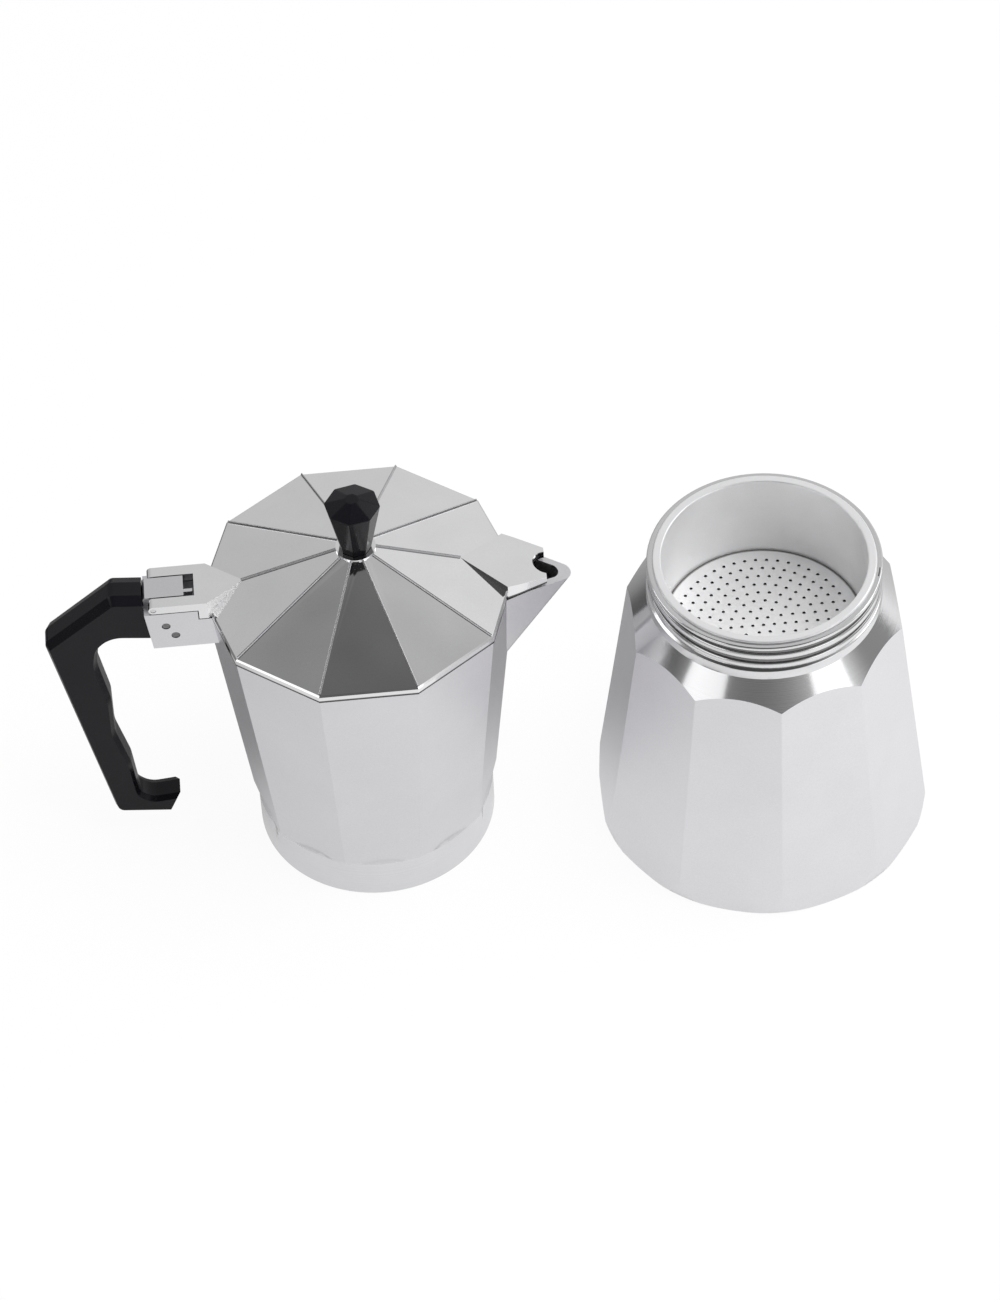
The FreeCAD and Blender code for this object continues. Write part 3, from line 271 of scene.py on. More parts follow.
finishValues = {
    "castSatin": {"metal": 1.0, "dark": (0.74, 0.735, 0.755), "light": (0.81, 0.80, 0.825), "rough": (0.3, 0.38),
                  "cloud": 45, "grain": 1800, "grainShare": 0.5, "relief": 0.06},
    "turnedBoiler": {"metal": 1.0, "dark": (0.72, 0.72, 0.73), "light": (0.80, 0.80, 0.81), "rough": (0.09, 0.15),
                     "cloud": 60, "grain": 1500, "grainShare": 0.3, "relief": 0.05,
                     "centre": boilerCentre, "lines": 2600},
    # painted shade in the thread's grooves: darker from 34.45 mm in to 34.0 mm from the axis
    "threadMetal": {"metal": 1.0, "dark": (0.72, 0.72, 0.73), "light": (0.80, 0.80, 0.81), "rough": (0.12, 0.2),
                    "cloud": 60, "grain": 1500, "grainShare": 0.3, "relief": 0.05,
                    "paintedShade": {"By Radius": 1.0, "Clean At": 34.45 * mm, "Dark At": 34.0 * mm},
                    "paintedShadeTone": (0.2, 0.2, 0.2)},
    "turnedJug": {"metal": 1.0, "dark": (0.74, 0.74, 0.76), "light": (0.84, 0.84, 0.86), "rough": (0.12, 0.18),
                  "cloud": 60, "grain": 1500, "grainShare": 0.3, "relief": 0.08,
                  "centre": jugCentre, "lines": 2600},
    "polishedLid": {"metal": 1.0, "dark": (0.86, 0.86, 0.87), "light": (0.92, 0.92, 0.93), "rough": (0.05, 0.09),
                    "cloud": 60, "grain": 1500, "grainShare": 0.3, "relief": 0.01, "wave": 28, "waveRise": 0.5},
    # painted shadow of the gap under the lid: the rim's outer wall darkens from 102.5 mm down to 102.2 mm high
    "lidRim": {"metal": 1.0, "dark": (0.86, 0.86, 0.87), "light": (0.92, 0.92, 0.93), "rough": (0.05, 0.09),
               "cloud": 60, "grain": 1500, "grainShare": 0.3, "relief": 0.01,
               "paintedShade": {"Clean At": 102.5 * mm, "Dark At": 102.2 * mm}, "paintedShadeTone": (0.10, 0.10, 0.10)},
    # a darker copy of the lid metal on the ridge beads, painted shade along the ridge lines
    "ridgePaintedShade": {"metal": 1.0, "dark": (0.50, 0.50, 0.51), "light": (0.58, 0.58, 0.59), "rough": (0.2, 0.28),
                 "cloud": 60, "grain": 1500, "grainShare": 0.3, "relief": 0.02},
    "brightSheet": {"metal": 0.55, "dark": (0.86, 0.86, 0.865), "light": (0.92, 0.92, 0.925), "rough": (0.3, 0.38),
                    "cloud": 80, "grain": 2200, "grainShare": 0.4, "relief": 0.04},
    # painted shade of the gap round the sieve's edge: darker from 29.4 mm out to 29.9 mm from the axis
    "sieveSheet": {"metal": 0.55, "dark": (0.84, 0.84, 0.845), "light": (0.92, 0.92, 0.925), "rough": (0.3, 0.38),
                   "cloud": 80, "grain": 2200, "grainShare": 0.4, "relief": 0.04,
                   "paintedShade": {"By Radius": 1.0, "Clean At": 29.4 * mm, "Dark At": 29.9 * mm},
                   "paintedShadeTone": (0.16, 0.155, 0.15)},
    "turnedSheet": {"metal": 0.7, "dark": (0.80, 0.80, 0.81), "light": (0.88, 0.88, 0.89), "rough": (0.26, 0.34),
                    "cloud": 60, "grain": 1500, "grainShare": 0.3, "relief": 0.08,
                    "centre": boilerCentre, "lines": 2600},
    # near-black hole walls of the perforated sheets, painted shade inside the holes
    "holePaintedShade": {"metal": 0.6, "dark": (0.06, 0.06, 0.06), "light": (0.10, 0.10, 0.10), "rough": (0.45, 0.6),
                 "cloud": 200, "grain": 2600, "grainShare": 0.5, "relief": 0.05},
    # a near-white, almost unmetallic copy of the lid metal for the walls beside the hinge tab, a painted highlight
    "wallPaintedHighlight": {"metal": 0.1, "dark": (0.92, 0.92, 0.92), "light": (0.96, 0.96, 0.96), "rough": (0.3, 0.4),
                  "cloud": 60, "grain": 1500, "grainShare": 0.3, "relief": 0.02},
    "blackMoulding": {"metal": 0.0, "dark": (0.004, 0.004, 0.006), "light": (0.007, 0.007, 0.009),
                      "rough": (0.14, 0.22), "cloud": 90, "grain": 2600, "grainShare": 0.5, "relief": 0.03,
                      "sockets": {"Specular IOR Level": 0.19}},
    "paleRubber": {"metal": 0.0, "dark": (0.66, 0.63, 0.56), "light": (0.74, 0.71, 0.65), "rough": (0.5, 0.65),
                   "cloud": 120, "grain": 2600, "grainShare": 0.5, "relief": 0.1},
    "fibreSeal": {"metal": 0.0, "dark": (0.2, 0.05, 0.03), "light": (0.28, 0.08, 0.05), "rough": (0.6, 0.75),
                  "cloud": 200, "grain": 3000, "grainShare": 0.6, "relief": 0.15},
    "turnedBrass": {"metal": 1.0, "dark": (0.62, 0.44, 0.17), "light": (0.74, 0.56, 0.26), "rough": (0.2, 0.32),
                    "cloud": 200, "grain": 3000, "grainShare": 0.4, "relief": 0.05},
    # steel toned dark grey for the handle pins, painted shade of the holes they sit in
    "pinSteelPaintedShade": {"metal": 0.8, "dark": (0.16, 0.16, 0.165), "light": (0.26, 0.26, 0.265), "rough": (0.35, 0.5),
                  "cloud": 300, "grain": 3000, "grainShare": 0.4, "relief": 0.05},
    "brightSteel": {"metal": 1.0, "dark": (0.52, 0.52, 0.53), "light": (0.62, 0.62, 0.63), "rough": (0.2, 0.32),
                    "cloud": 200, "grain": 3000, "grainShare": 0.4, "relief": 0.05},
}
finish = {name: makeFinish(name, v) for name, v in finishValues.items()}
print("finishes made")


# pieces made from a node's own solid, with rounded edges and smooth curves
copyValues = {"merge": 0.002, "flatWithin": 0.4, "faceWeight": 100}


def plainCopy(node):
    bm = bmesh.new()
    bm.from_mesh(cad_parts[node].data)
    bmesh.ops.remove_doubles(bm, verts=bm.verts, dist=copyValues["merge"] * mm)
    bmesh.ops.dissolve_limit(bm, angle_limit=math.radians(copyValues["flatWithin"]), verts=bm.verts, edges=bm.edges)
    return bm


def meshFrom(obj):
    graph = bpy.context.evaluated_depsgraph_get()
    made = bpy.data.meshes.new_from_object(obj.evaluated_get(graph), preserve_all_data_layers=True, depsgraph=graph)
    obj.modifiers.clear()
    obj.data = made
    return obj


def softened(node, name, v, body, materials, chooseFace=None):
    bm = plainCopy(node)
    weight = bm.edges.layers.float.new("bevel_weight_edge")
    for edge in bm.edges:
        if len(edge.link_faces) != 2 or (v.get("convexOnly") and not edge.is_convex):
            continue
        middle = (edge.verts[0].co + edge.verts[1].co) / 2
        longEnough = edge.calc_length() > v["leastLength"] * mm or middle.z > v.get("ringsAbove", 1e3) * mm
        if longEnough and edge.calc_face_angle(0) > math.radians(v["sharpest"]):
            edge[weight] = 1.0
    for face in bm.faces:
        face.smooth = True
        if chooseFace:
            face.material_index = chooseFace(face)
    mesh = bpy.data.meshes.new(name)
    bm.to_mesh(mesh)
    bm.free()
    for material in materials:
        mesh.materials.append(material)
    obj = bpy.data.objects.new(name, mesh)
    scene.collection.objects.link(obj)
    rounding = obj.modifiers.new("rounding", "BEVEL")
    rounding.limit_method = "WEIGHT"
    rounding.width = v["round"] * mm
    rounding.segments = v["segments"]
    rounding.use_clamp_overlap = True
    meshFrom(obj)
    obj.data.set_sharp_from_angle(angle=math.radians(v["smooth"]))
    even = obj.modifiers.new("evenNormals", "WEIGHTED_NORMAL")
    even.weight, even.keep_sharp = copyValues["faceWeight"], True
    meshFrom(obj)
    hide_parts(node)
    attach(obj, body)
    return obj


def coneShading(obj, centre, v):
    # corner normals of a true cone, so that its shine runs evenly up to the crisp edges
    mesh = obj.data
    normals = [corner.vector.copy() for corner in mesh.corner_normals]
    lean = math.atan2(v["wideRadius"] - v["narrowRadius"], v["highEnd"] - v["lowEnd"])
    for face in mesh.polygons:
        away = Vector((face.center.x - centre[0], face.center.y - centre[1]))
        sloped = abs(face.normal.z - math.sin(lean)) < v["slopeMargin"]
        onCone = sloped and v["lowEnd"] * mm < face.center.z < v["highEnd"] * mm
        if not onCone or away.length < v["narrowRadius"] * mm or face.normal.to_2d().dot(away) < 0:
            continue
        for corner in face.loop_indices:
            place = mesh.vertices[mesh.loops[corner].vertex_index].co
            around = Vector((place.x - centre[0], place.y - centre[1], 0)).normalized()
            normals[corner] = around * math.cos(lean) + Vector((0, 0, math.sin(lean)))
    mesh.normals_split_custom_set(normals)


def outward(face, centre):
    middle = face.calc_center_median()
    return Vector((middle.x - centre[0], middle.y - centre[1]))


boilerValues = {"round": 0.3, "segments": 3, "sharpest": 12, "leastLength": 12, "ringsAbove": 92.5, "smooth": 25,
                "footTop": 1.2, "shoulderSlope": 0.3, "collarFoot": 91.0, "bore": 31.7, "uprightWithin": 0.6}


def boilerFace(face):
    # flats as cast, shoulder, foot and inside turned, collar with its thread and painted shade in the thread's
    # grooves
    v, height, slope = boilerValues, face.calc_center_median().z, face.normal.z
    away = outward(face, boilerCentre)
    facesOut = face.normal.to_2d().dot(away) > 0 and abs(slope) < v["uprightWithin"]
    if facesOut and height > v["ringsAbove"] * mm:
        return 2
    turned = height > v["collarFoot"] * mm or slope > v["shoulderSlope"] or height < v["footTop"] * mm
    return 1 if turned or away.length < v["bore"] * mm else 0


boilerCasting = softened("boiler", "boilerCasting", boilerValues, "boiler",
                         [finish["castSatin"], finish["turnedBoiler"], finish["threadMetal"]], boilerFace)
shoulderCone = {"wideRadius": 65.0, "lowEnd": 55.0, "narrowRadius": 34.9, "highEnd": 92.0, "slopeMargin": 0.06}
coneShading(boilerCasting, boilerCentre, shoulderCone)

jugValues = {"round": 0.35, "segments": 3, "sharpest": 12, "leastLength": 9, "smooth": 14, "bandTop": 14.0,
             "convexOnly": True}


def jugFace(face):
    return 1 if face.calc_center_median().z < jugValues["bandTop"] * mm else 0


softened("jug_body", "jugCasting", jugValues, "jug",
         [finish["castSatin"], finish["turnedJug"]], jugFace)

lidValues = {"round": 0.35, "segments": 3, "sharpest": 25, "leastLength": 5, "smooth": 6, "tabStart": -31.0,
             "rimInside": 42.0, "rimTop": 104.4, "rimWithin": 0.5, "insideSlope": -0.2,
             "wallWithin": 0.3, "wallTurn": 0.2, "wallFoot": 103.5}


def lidFace(face):
    # inside as cast, rim with painted shadow at its foot, walls between the hinge tab and the flats beside it with
    # a painted highlight
    v, middle, slope = lidValues, face.calc_center_median(), face.normal.z
    if slope < v["insideSlope"]:
        return 3
    away = outward(face, jugCentre)
    upright = abs(slope) < v["rimWithin"] and face.normal.to_2d().dot(away) > 0
    if upright and away.length > v["rimInside"] * mm and middle.z < v["rimTop"] * mm:
        return 2
    # the walls beside the hinge tab take the painted highlight
    wall = abs(slope) < v["wallWithin"] and face.normal.x > v["wallTurn"] and middle.z > v["wallFoot"] * mm
    return 1 if wall and away.x < v["tabStart"] * mm else 0


softened("lid", "lidCasting", lidValues, "lid",
         [finish["polishedLid"], finish["wallPaintedHighlight"], finish["lidRim"], finish["castSatin"]], lidFace)

handleValues = {"round": 0.5, "segments": 3, "sharpest": 14, "leastLength": 0, "smooth": 30}
softened("handle", "handleGrip", handleValues, "jug", [finish["blackMoulding"]])

knobValues = {"round": 0.3, "segments": 3, "sharpest": 12, "leastLength": 1, "smooth": 30}
softened("knob", "lidKnob", knobValues, "lid", [finish["blackMoulding"]])

cupValues = {"round": 0.25, "segments": 3, "sharpest": 25, "leastLength": 0, "smooth": 30, "flangeFoot": 105.35,
             "flangeSlope": -0.5}


def cupFace(face):
    onFlange = face.calc_center_median().z > cupValues["flangeFoot"] * mm
    return 1 if onFlange and face.normal.z > cupValues["flangeSlope"] else 0


softened("funnel_cup", "funnelCup", cupValues, "funnel",
         [finish["brightSheet"], finish["turnedSheet"]], cupFace)

springValues = {"round": 0.02, "segments": 1, "sharpest": 170, "leastLength": 50, "smooth": 60,
                "turn": 108.0, "travel": 1.5}


def makeSpring(v):
    # the coil, made from the node's solid, gets a mesh of its own
    coil = softened("valve_spring", "valveCoil", v, "boiler", [finish["brightSteel"]])
    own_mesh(coil)


makeSpring(springValues)
print("castings, mouldings, cup and spring made")


# screw threads follow a helix, one tree for both
treeValues = {"helixSteps": 96, "ridgeSides": 14, "beadSides": 16, "merge": 0.001}


def shapeTree(name, inputs):
    tree = newGroup(name, "GeometryNodeTree", inputs)
    tree.interface.new_socket("Geometry", in_out="OUTPUT", socket_type="NodeSocketGeometry")
    tree.interface.new_socket("Material", in_out="INPUT", socket_type="NodeSocketMaterial")
    return tree


def threadTree():
    tree = shapeTree("threadTree", (("Radius", 0.034), ("Pitch", 0.0039), ("Turns", 2.0), ("Start Height", 0.0),
                                    ("Ridge Height", 0.0008), ("Ridge Width", 0.0026)))
    given = addNode(tree, "NodeGroupInput", -900, 0)
    result = addNode(tree, "NodeGroupOutput", 900, 0)
    rise = addNode(tree, "ShaderNodeMath", -650, 150, operation="MULTIPLY")
    helix = addNode(tree, "GeometryNodeCurveSpiral", -420, 150)
    helix.inputs["Resolution"].default_value = treeValues["helixSteps"]
    upright = addNode(tree, "GeometryNodeSetCurveNormal", -200, 150, mode="Z_UP")
    ridge = addNode(tree, "GeometryNodeCurvePrimitiveCircle", -420, -200, mode="RADIUS")
    ridge.inputs["Resolution"].default_value = treeValues["ridgeSides"]
    ridge.inputs["Radius"].default_value = 1.0
    halfWidth = addNode(tree, "ShaderNodeMath", -650, -350, operation="MULTIPLY")
    halfWidth.inputs[1].default_value = 0.5
    ridgeSize = addNode(tree, "ShaderNodeCombineXYZ", -420, -400)
    sized = addNode(tree, "GeometryNodeTransform", -200, -200)
    swept = addNode(tree, "GeometryNodeCurveToMesh", 50, 0)
    swept.inputs["Fill Caps"].default_value = True
    lift = addNode(tree, "ShaderNodeCombineXYZ", 50, -250)
    lifted = addNode(tree, "GeometryNodeTransform", 280, 0)
    real = addNode(tree, "GeometryNodeRealizeInstances", 480, 0)
    painted = addNode(tree, "GeometryNodeSetMaterial", 680, 0)
    link = tree.links.new
    link(given.outputs["Pitch"], rise.inputs[0])
    link(given.outputs["Turns"], rise.inputs[1])
    link(rise.outputs[0], helix.inputs["Height"])
    link(given.outputs["Turns"], helix.inputs["Rotations"])
    link(given.outputs["Radius"], helix.inputs["Start Radius"])
    link(given.outputs["Radius"], helix.inputs["End Radius"])
    link(helix.outputs["Curve"], upright.inputs["Curve"])
    link(given.outputs["Ridge Width"], halfWidth.inputs[0])
    link(given.outputs["Ridge Height"], ridgeSize.inputs["X"])
    link(halfWidth.outputs[0], ridgeSize.inputs["Y"])
    ridgeSize.inputs["Z"].default_value = 1.0
    link(ridge.outputs["Curve"], sized.inputs["Geometry"])
    link(ridgeSize.outputs[0], sized.inputs["Scale"])
    link(upright.outputs["Curve"], swept.inputs["Curve"])
    link(sized.outputs["Geometry"], swept.inputs["Profile Curve"])
    link(swept.outputs["Mesh"], lifted.inputs["Geometry"])
    link(given.outputs["Start Height"], lift.inputs["Z"])
    link(lift.outputs[0], lifted.inputs["Translation"])
    link(lifted.outputs["Geometry"], real.inputs["Geometry"])
    link(real.outputs["Geometry"], painted.inputs["Geometry"])
    link(given.outputs["Material"], painted.inputs["Material"])
    link(painted.outputs["Geometry"], result.inputs["Geometry"])
    return tree


def makeFromTree(name, tree, lengths, counts, centre, material, body):
    obj = bpy.data.objects.new(name, bpy.data.meshes.new(name))
    scene.collection.objects.link(obj)
    modifier = obj.modifiers.new("made", "NODES")
    modifier.node_group = tree
    named = {s.name: s.identifier for s in tree.interface.items_tree if s.in_out == "INPUT"}
    for key, value in lengths.items():
        modifier[named[key]] = value * mm
    for key, value in counts.items():
        modifier[named[key]] = value
    modifier[named["Material"]] = material
    meshFrom(obj)
    obj.data.transform(Matrix.Translation((centre[0], centre[1], 0)))
    bm = bmesh.new()
    bm.from_mesh(obj.data)
    bmesh.ops.remove_doubles(bm, verts=bm.verts, dist=treeValues["merge"] * mm)
    bmesh.ops.recalc_face_normals(bm, faces=bm.faces)
    bm.to_mesh(obj.data)
    bm.free()
    for face in obj.data.polygons:
        face.use_smooth = True
    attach(obj, body)
    return obj


threads = threadTree()
collarThread = {"Radius": 33.85, "Pitch": 3.9, "Start Height": 96.1, "Ridge Height": 0.8, "Ridge Width": 2.6}
socketThread = {"Radius": 35.05, "Pitch": 3.9, "Start Height": 2.4, "Ridge Height": 0.6, "Ridge Width": 2.2}
# the collar's thread takes painted shade towards its roots
makeFromTree("collarThread", threads, collarThread, {"Turns": 2.05}, boilerCentre, finish["threadMetal"],
             "boiler")
makeFromTree("socketThread", threads, socketThread, {"Turns": 2.4}, jugCentre, finish["turnedJug"], "jug")
print("threads made")


# half-round beads on the lid's ridges
def beadTree():
    tree = shapeTree("ridgeBeads", (("Rim Radius", 0.0457), ("Rim Height", 0.1043), ("Crown Radius", 0.0058),
                                    ("Crown Height", 0.118), ("Bead Half Width", 0.0006), ("Bead Rise", 0.0003)))
    count = tree.interface.new_socket("Count", in_out="INPUT", socket_type="NodeSocketInt")
    count.default_value = 10
    given = addNode(tree, "NodeGroupInput", -1000, 0)
    result = addNode(tree, "NodeGroupOutput", 1100, 0)
    rim = addNode(tree, "ShaderNodeCombineXYZ", -750, 200)
    crown = addNode(tree, "ShaderNodeCombineXYZ", -750, 50)
    ridge = addNode(tree, "GeometryNodeCurvePrimitiveLine", -520, 150)
    upright = addNode(tree, "GeometryNodeSetCurveNormal", -320, 150, mode="Z_UP")
    profile = addNode(tree, "GeometryNodeCurvePrimitiveCircle", -520, -150, mode="RADIUS")
    profile.inputs["Resolution"].default_value = treeValues["beadSides"]
    profile.inputs["Radius"].default_value = 1.0
    profileSize = addNode(tree, "ShaderNodeCombineXYZ", -520, -350)
    profileSize.inputs["Z"].default_value = 1.0
    sized = addNode(tree, "GeometryNodeTransform", -320, -150)
    swept = addNode(tree, "GeometryNodeCurveToMesh", -100, 50)
    swept.inputs["Fill Caps"].default_value = True
    points = addNode(tree, "GeometryNodePoints", -100, 300)
    index = addNode(tree, "GeometryNodeInputIndex", -320, -400)
    share = addNode(tree, "ShaderNodeMath", -100, -400, operation="DIVIDE")
    angle = addNode(tree, "ShaderNodeMath", 80, -400, operation="MULTIPLY")
    angle.inputs[1].default_value = math.tau
    turn = addNode(tree, "ShaderNodeCombineXYZ", 250, -400)
    copies = addNode(tree, "GeometryNodeInstanceOnPoints", 450, 100)
    real = addNode(tree, "GeometryNodeRealizeInstances", 680, 100)
    painted = addNode(tree, "GeometryNodeSetMaterial", 880, 100)
    link = tree.links.new
    link(given.outputs["Rim Radius"], rim.inputs["X"])
    link(given.outputs["Rim Height"], rim.inputs["Z"])
    link(given.outputs["Crown Radius"], crown.inputs["X"])
    link(given.outputs["Crown Height"], crown.inputs["Z"])
    link(rim.outputs[0], ridge.inputs["Start"])
    link(crown.outputs[0], ridge.inputs["End"])
    link(ridge.outputs["Curve"], upright.inputs["Curve"])
    link(given.outputs["Bead Rise"], profileSize.inputs["X"])
    link(given.outputs["Bead Half Width"], profileSize.inputs["Y"])
    link(profile.outputs["Curve"], sized.inputs["Geometry"])
    link(profileSize.outputs[0], sized.inputs["Scale"])
    link(upright.outputs["Curve"], swept.inputs["Curve"])
    link(sized.outputs["Geometry"], swept.inputs["Profile Curve"])
    link(given.outputs["Count"], points.inputs["Count"])
    link(index.outputs[0], share.inputs[0])
    link(given.outputs["Count"], share.inputs[1])
    link(share.outputs[0], angle.inputs[0])
    link(angle.outputs[0], turn.inputs["Z"])
    link(points.outputs[0], copies.inputs["Points"])
    link(swept.outputs["Mesh"], copies.inputs["Instance"])
    link(turn.outputs[0], copies.inputs["Rotation"])
    link(copies.outputs["Instances"], real.inputs["Geometry"])
    link(real.outputs["Geometry"], painted.inputs["Geometry"])
    link(given.outputs["Material"], painted.inputs["Material"])
    link(painted.outputs["Geometry"], result.inputs["Geometry"])
    return tree


beadValues = {"Rim Radius": 45.6, "Rim Height": 104.42, "Crown Radius": 5.6, "Crown Height": 117.95,
              "Bead Half Width": 0.7, "Bead Rise": 0.32}
# the beads' darker finish is painted shade along the ridges
lidBeads = makeFromTree("lidRidgeBeads", beadTree(), beadValues, {"Count": 10}, jugCentre, finish["ridgePaintedShade"],
                        "lid")


beadEnds = {"spoutCover": 30.2, "hingeTab": 34.2}


def shortenBeads(beads, v, ends):
    # the beads that run into the spout cover and the hinge tab end where those start
    slope = (v["Crown Height"] - v["Rim Height"]) / (v["Rim Radius"] - v["Crown Radius"])
    for vertex in beads.data.vertices:
        x, y = vertex.co.x - jugCentre[0], vertex.co.y - jugCentre[1]
        end = ends["spoutCover"] if x > 0 else ends["hingeTab"]
        back = (v["Rim Radius"] - end) * mm
        if abs(y) < v["Bead Half Width"] * 2 * mm and abs(x) > end * mm:
            vertex.co.x -= math.copysign(back, x)
            vertex.co.z += back * slope


shortenBeads(lidBeads, beadValues, beadEnds)
print("lid beads made")


# nodes whose solid is right keep it and get a finish
nodeFinish = {
    # the sieve's finish has painted shade round its edge
    "funnel_tube": "brightSheet", "funnel_sieve": "sieveSheet",
    "filter_plate": "brightSheet", "gasket": "paleRubber", "valve_seal": "fibreSeal",
    "valve_body": "turnedBrass", "valve_cap": "turnedBrass", "valve_pin": "turnedBrass",
    # the handle pins' dark finish is painted shade of their holes
    "knob_insert": "turnedBrass", "handle_pin_upper": "pinSteelPaintedShade", "handle_pin_lower": "pinSteelPaintedShade",
    "hinge_pin": "castSatin", "knob_screw": "brightSteel",
    "knob_washer": "brightSteel",
}
for node, finishName in nodeFinish.items():
    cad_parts[node].data.materials.clear()
    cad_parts[node].data.materials.append(finish[finishName])
# hole walls in the perforated sheets get a near-black finish, painted shade inside the holes
perforated = {"funnel_sieve": (boilerCentre, 28.0), "filter_plate": (jugCentre, 26.0)}
holeWithin = 0.2
for node, (centre, reach) in perforated.items():
    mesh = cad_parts[node].data
    mesh.materials.append(finish["holePaintedShade"])
    for face in mesh.polygons:
        away = Vector((face.center.x - centre[0], face.center.y - centre[1])).length
        face.material_index = 1 if abs(face.normal.z) < holeWithin and away < reach * mm else 0
print("small pieces finished")


# studio: pale floor, soft boxes and a world that is darker overhead
floorValues = {"half": 4.0, "tone": (0.86, 0.86, 0.87), "white": 0.94, "shareInMetal": 0.85,
               "frontInMetal": 0.9, "backInMetal": 0.38, "sideInMetal": 0.9, "turnsDarkFrom": 0.0,
               "turnsDarkTo": 0.06, "slant": 0.1, "rough": 0.9, "drop": 0.02}


def makeFloor(v):
    h = v["half"]
    mesh = bpy.data.meshes.new("studioFloor")
    mesh.from_pydata([(-h, -h, 0), (h, -h, 0), (h, h, 0), (-h, h, 0)], [], [(0, 1, 2, 3)])
    mesh.transform(Matrix.Translation((0, 0, -v["drop"] * mm)))
    floor = bpy.data.objects.new("studioFloor", mesh)
    scene.collection.objects.link(floor)
    material = bpy.data.materials.new("paleFloor")
    material.use_nodes = True
    tree = material.node_tree
    shader = tree.nodes["Principled BSDF"]
    shader.inputs["Base Color"].default_value = (*v["tone"], 1)
    shader.inputs["Roughness"].default_value = v["rough"]
    shader.inputs["Specular IOR Level"].default_value = 0.0
    place = addNode(tree, "ShaderNodeTexCoord", -1300, -300)
    parts = addNode(tree, "ShaderNodeSeparateXYZ", -1100, -300)
    slanted = addNode(tree, "ShaderNodeMath", -900, -200, operation="MULTIPLY_ADD")
    slanted.inputs[1].default_value = -v["slant"]
    deep = addNode(tree, "ShaderNodeMapRange", -700, -200, interpolation_type="SMOOTHSTEP")
    deep.inputs["From Min"].default_value = v["turnsDarkFrom"]
    deep.inputs["From Max"].default_value = v["turnsDarkTo"]
    deep.inputs["To Min"].default_value = v["frontInMetal"]
    deep.inputs["To Max"].default_value = v["backInMetal"]
    sideways = addNode(tree, "ShaderNodeMath", -500, -300, operation="MULTIPLY_ADD", use_clamp=True)
    sideways.inputs[1].default_value = v["sideInMetal"]
    white = addNode(tree, "ShaderNodeEmission", 0, -300)
    path = addNode(tree, "ShaderNodeLightPath", -700, 300)
    glow = addNode(tree, "ShaderNodeMath", -250, -300, operation="MAXIMUM")
    seen = addNode(tree, "ShaderNodeMath", -300, 300, operation="MULTIPLY")
    seen.inputs[1].default_value = v["white"]
    through = addNode(tree, "ShaderNodeMath", -450, 100, operation="MAXIMUM")
    mirrored = addNode(tree, "ShaderNodeMath", -300, 100, operation="MULTIPLY")
    mirrored.inputs[1].default_value = v["shareInMetal"]
    either = addNode(tree, "ShaderNodeMath", -100, 200, operation="MAXIMUM")
    mixed = addNode(tree, "ShaderNodeMixShader", 200, 0)
    link = tree.links.new
    link(place.outputs["Object"], parts.inputs["Vector"])
    link(parts.outputs["X"], slanted.inputs[0])
    link(parts.outputs["Y"], slanted.inputs[2])
    link(slanted.outputs[0], deep.inputs["Value"])
    link(parts.outputs["X"], sideways.inputs[0])
    link(deep.outputs["Result"], sideways.inputs[2])
    link(path.outputs["Is Camera Ray"], glow.inputs[0])
    link(sideways.outputs[0], glow.inputs[1])
    link(glow.outputs[0], white.inputs["Strength"])
    link(path.outputs["Is Camera Ray"], seen.inputs[0])
    link(path.outputs["Is Glossy Ray"], through.inputs[0])
    link(path.outputs["Is Transmission Ray"], through.inputs[1])
    link(through.outputs[0], mirrored.inputs[0])
    link(seen.outputs[0], either.inputs[0])
    link(mirrored.outputs[0], either.inputs[1])
    link(either.outputs[0], mixed.inputs["Fac"])
    link(shader.outputs["BSDF"], mixed.inputs[1])
    link(white.outputs["Emission"], mixed.inputs[2])
    link(mixed.outputs["Shader"], tree.nodes["Material Output"].inputs["Surface"])
    mesh.materials.append(material)


makeFloor(floorValues)

worldValues = {"level": 0.77, "rightward": 0.28, "darkAim": (-0.089, -0.446, 0.891), "darkFrom": 0.513,
               "darkFull": 0.977, "darkShare": 0.888, "sideFrom": 0.8, "sideFull": 0.97, "sideShare": 0.65}


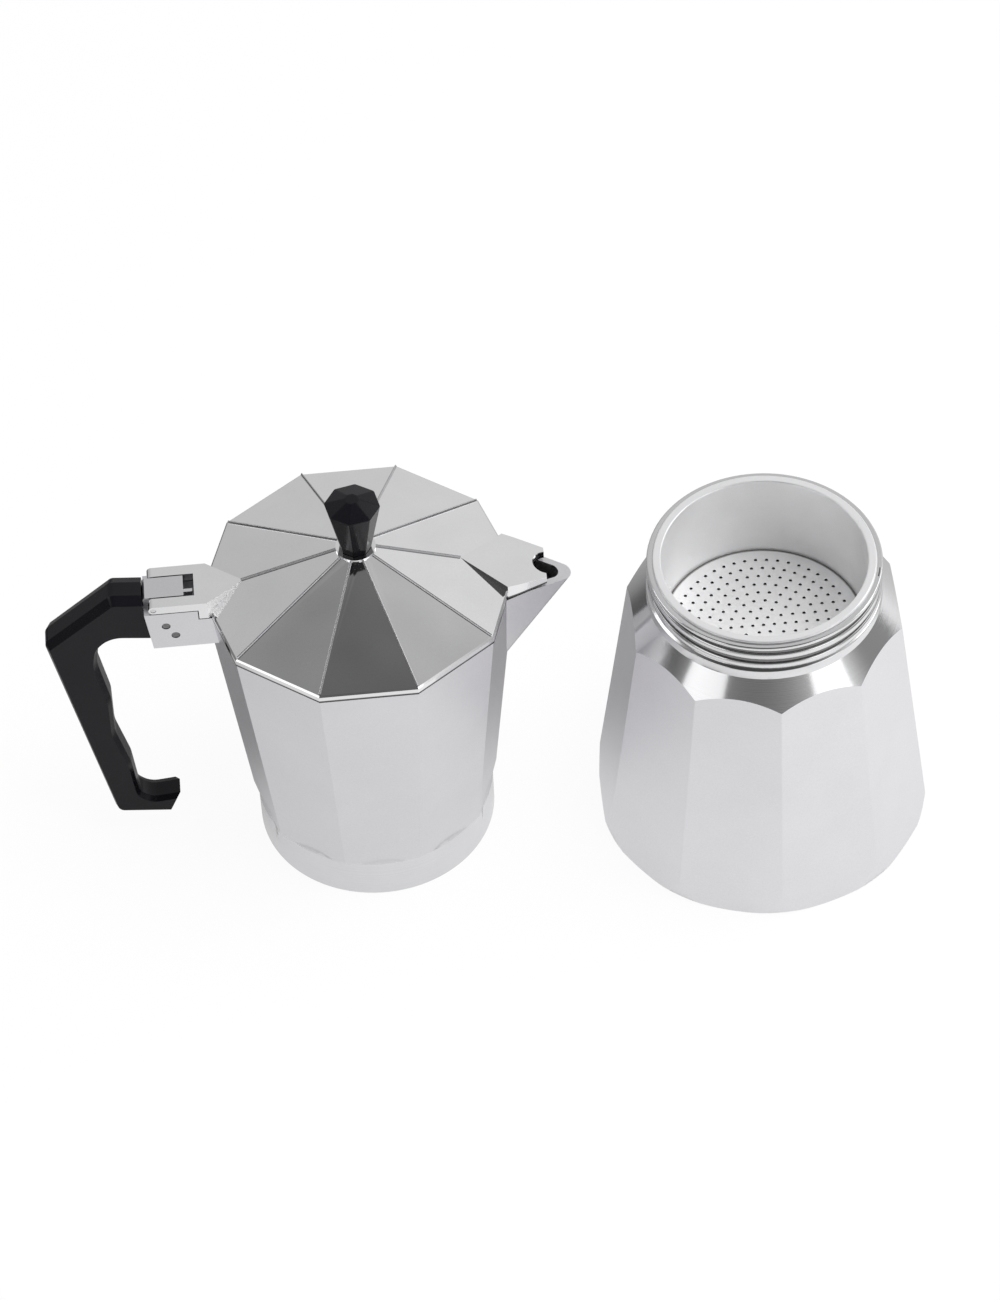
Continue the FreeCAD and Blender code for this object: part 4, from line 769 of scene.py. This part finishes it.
def makeWorld(v):
    world = bpy.data.worlds.new("studioWorld")
    scene.world = world
    world.use_nodes = True
    tree = world.node_tree
    tree.nodes.clear()
    link = tree.links.new
    place = addNode(tree, "ShaderNodeTexCoord", -1000, 0)
    parts = addNode(tree, "ShaderNodeSeparateXYZ", -800, 150)
    side = addNode(tree, "ShaderNodeMath", -600, 150, operation="MULTIPLY_ADD")
    side.inputs[1].default_value = v["rightward"]
    side.inputs[2].default_value = v["level"]
    aim = addNode(tree, "ShaderNodeVectorMath", -800, -150, operation="DOT_PRODUCT")
    aim.inputs[1].default_value = v["darkAim"]
    dark = addNode(tree, "ShaderNodeMapRange", -600, -150, interpolation_type="SMOOTHSTEP")
    dark.inputs["From Min"].default_value = v["darkFrom"]
    dark.inputs["From Max"].default_value = v["darkFull"]
    dark.inputs["To Min"].default_value = 1.0
    dark.inputs["To Max"].default_value = 1.0 - v["darkShare"]
    far = addNode(tree, "ShaderNodeMath", -800, 350, operation="ABSOLUTE")
    flank = addNode(tree, "ShaderNodeMapRange", -600, 350, interpolation_type="SMOOTHSTEP")
    flank.inputs["From Min"].default_value = v["sideFrom"]
    flank.inputs["From Max"].default_value = v["sideFull"]
    flank.inputs["To Min"].default_value = 1.0
    flank.inputs["To Max"].default_value = 1.0 - v["sideShare"]
    level = addNode(tree, "ShaderNodeMath", -350, 0, operation="MULTIPLY")
    shaded = addNode(tree, "ShaderNodeMath", -250, 100, operation="MULTIPLY")
    studio = addNode(tree, "ShaderNodeBackground", -150, 0)
    plain = addNode(tree, "ShaderNodeBackground", -150, -200)
    plain.inputs["Color"].default_value = (1, 1, 1, 1)
    path = addNode(tree, "ShaderNodeLightPath", -350, 350)
    mixed = addNode(tree, "ShaderNodeMixShader", 100, 0)
    result = addNode(tree, "ShaderNodeOutputWorld", 300, 0)
    link(place.outputs["Generated"], parts.inputs["Vector"])
    link(place.outputs["Generated"], aim.inputs[0])
    link(parts.outputs["X"], side.inputs[0])
    link(aim.outputs["Value"], dark.inputs["Value"])
    link(side.outputs[0], level.inputs[0])
    link(dark.outputs["Result"], level.inputs[1])
    link(parts.outputs["X"], far.inputs[0])
    link(far.outputs[0], flank.inputs["Value"])
    link(level.outputs[0], shaded.inputs[0])
    link(flank.outputs["Result"], shaded.inputs[1])
    link(shaded.outputs[0], studio.inputs["Strength"])
    link(path.outputs["Is Camera Ray"], mixed.inputs["Fac"])
    link(studio.outputs[0], mixed.inputs[1])
    link(plain.outputs[0], mixed.inputs[2])
    link(mixed.outputs[0], result.inputs["Surface"])


makeWorld(worldValues)

lampAim = (-0.08, 0.0, 0.06)
lampValues = {
    "frontLeftBox": {"place": (-1.0, -0.76, 0.5), "size": 0.68, "power": 1.3},
    "frontRightBox": {"place": (0.80, -0.80, 0.52), "size": 0.55, "power": 0.8},
    "rightBox": {"place": (0.9, 0.3, 0.9), "size": 0.7, "power": 1.9},
    "leftBox": {"place": (-1.1, 0.3, 0.8), "size": 0.6, "power": 1.4},
    "topFill": {"place": (0.5, -0.2, 1.5), "size": 1.0, "power": 23.5, "inMetal": False},
}


def makeLamp(name, v):
    data = bpy.data.lights.new(name, "AREA")
    data.energy, data.size = v["power"], v["size"]
    lamp = bpy.data.objects.new(name, data)
    scene.collection.objects.link(lamp)
    lamp.visible_glossy = v.get("inMetal", True)
    lamp.location = v["place"]
    lamp.rotation_euler = (Vector(lampAim) - lamp.location).to_track_quat("-Z", "Y").to_euler()


for name, v in lampValues.items():
    makeLamp(name, v)
print("studio set")
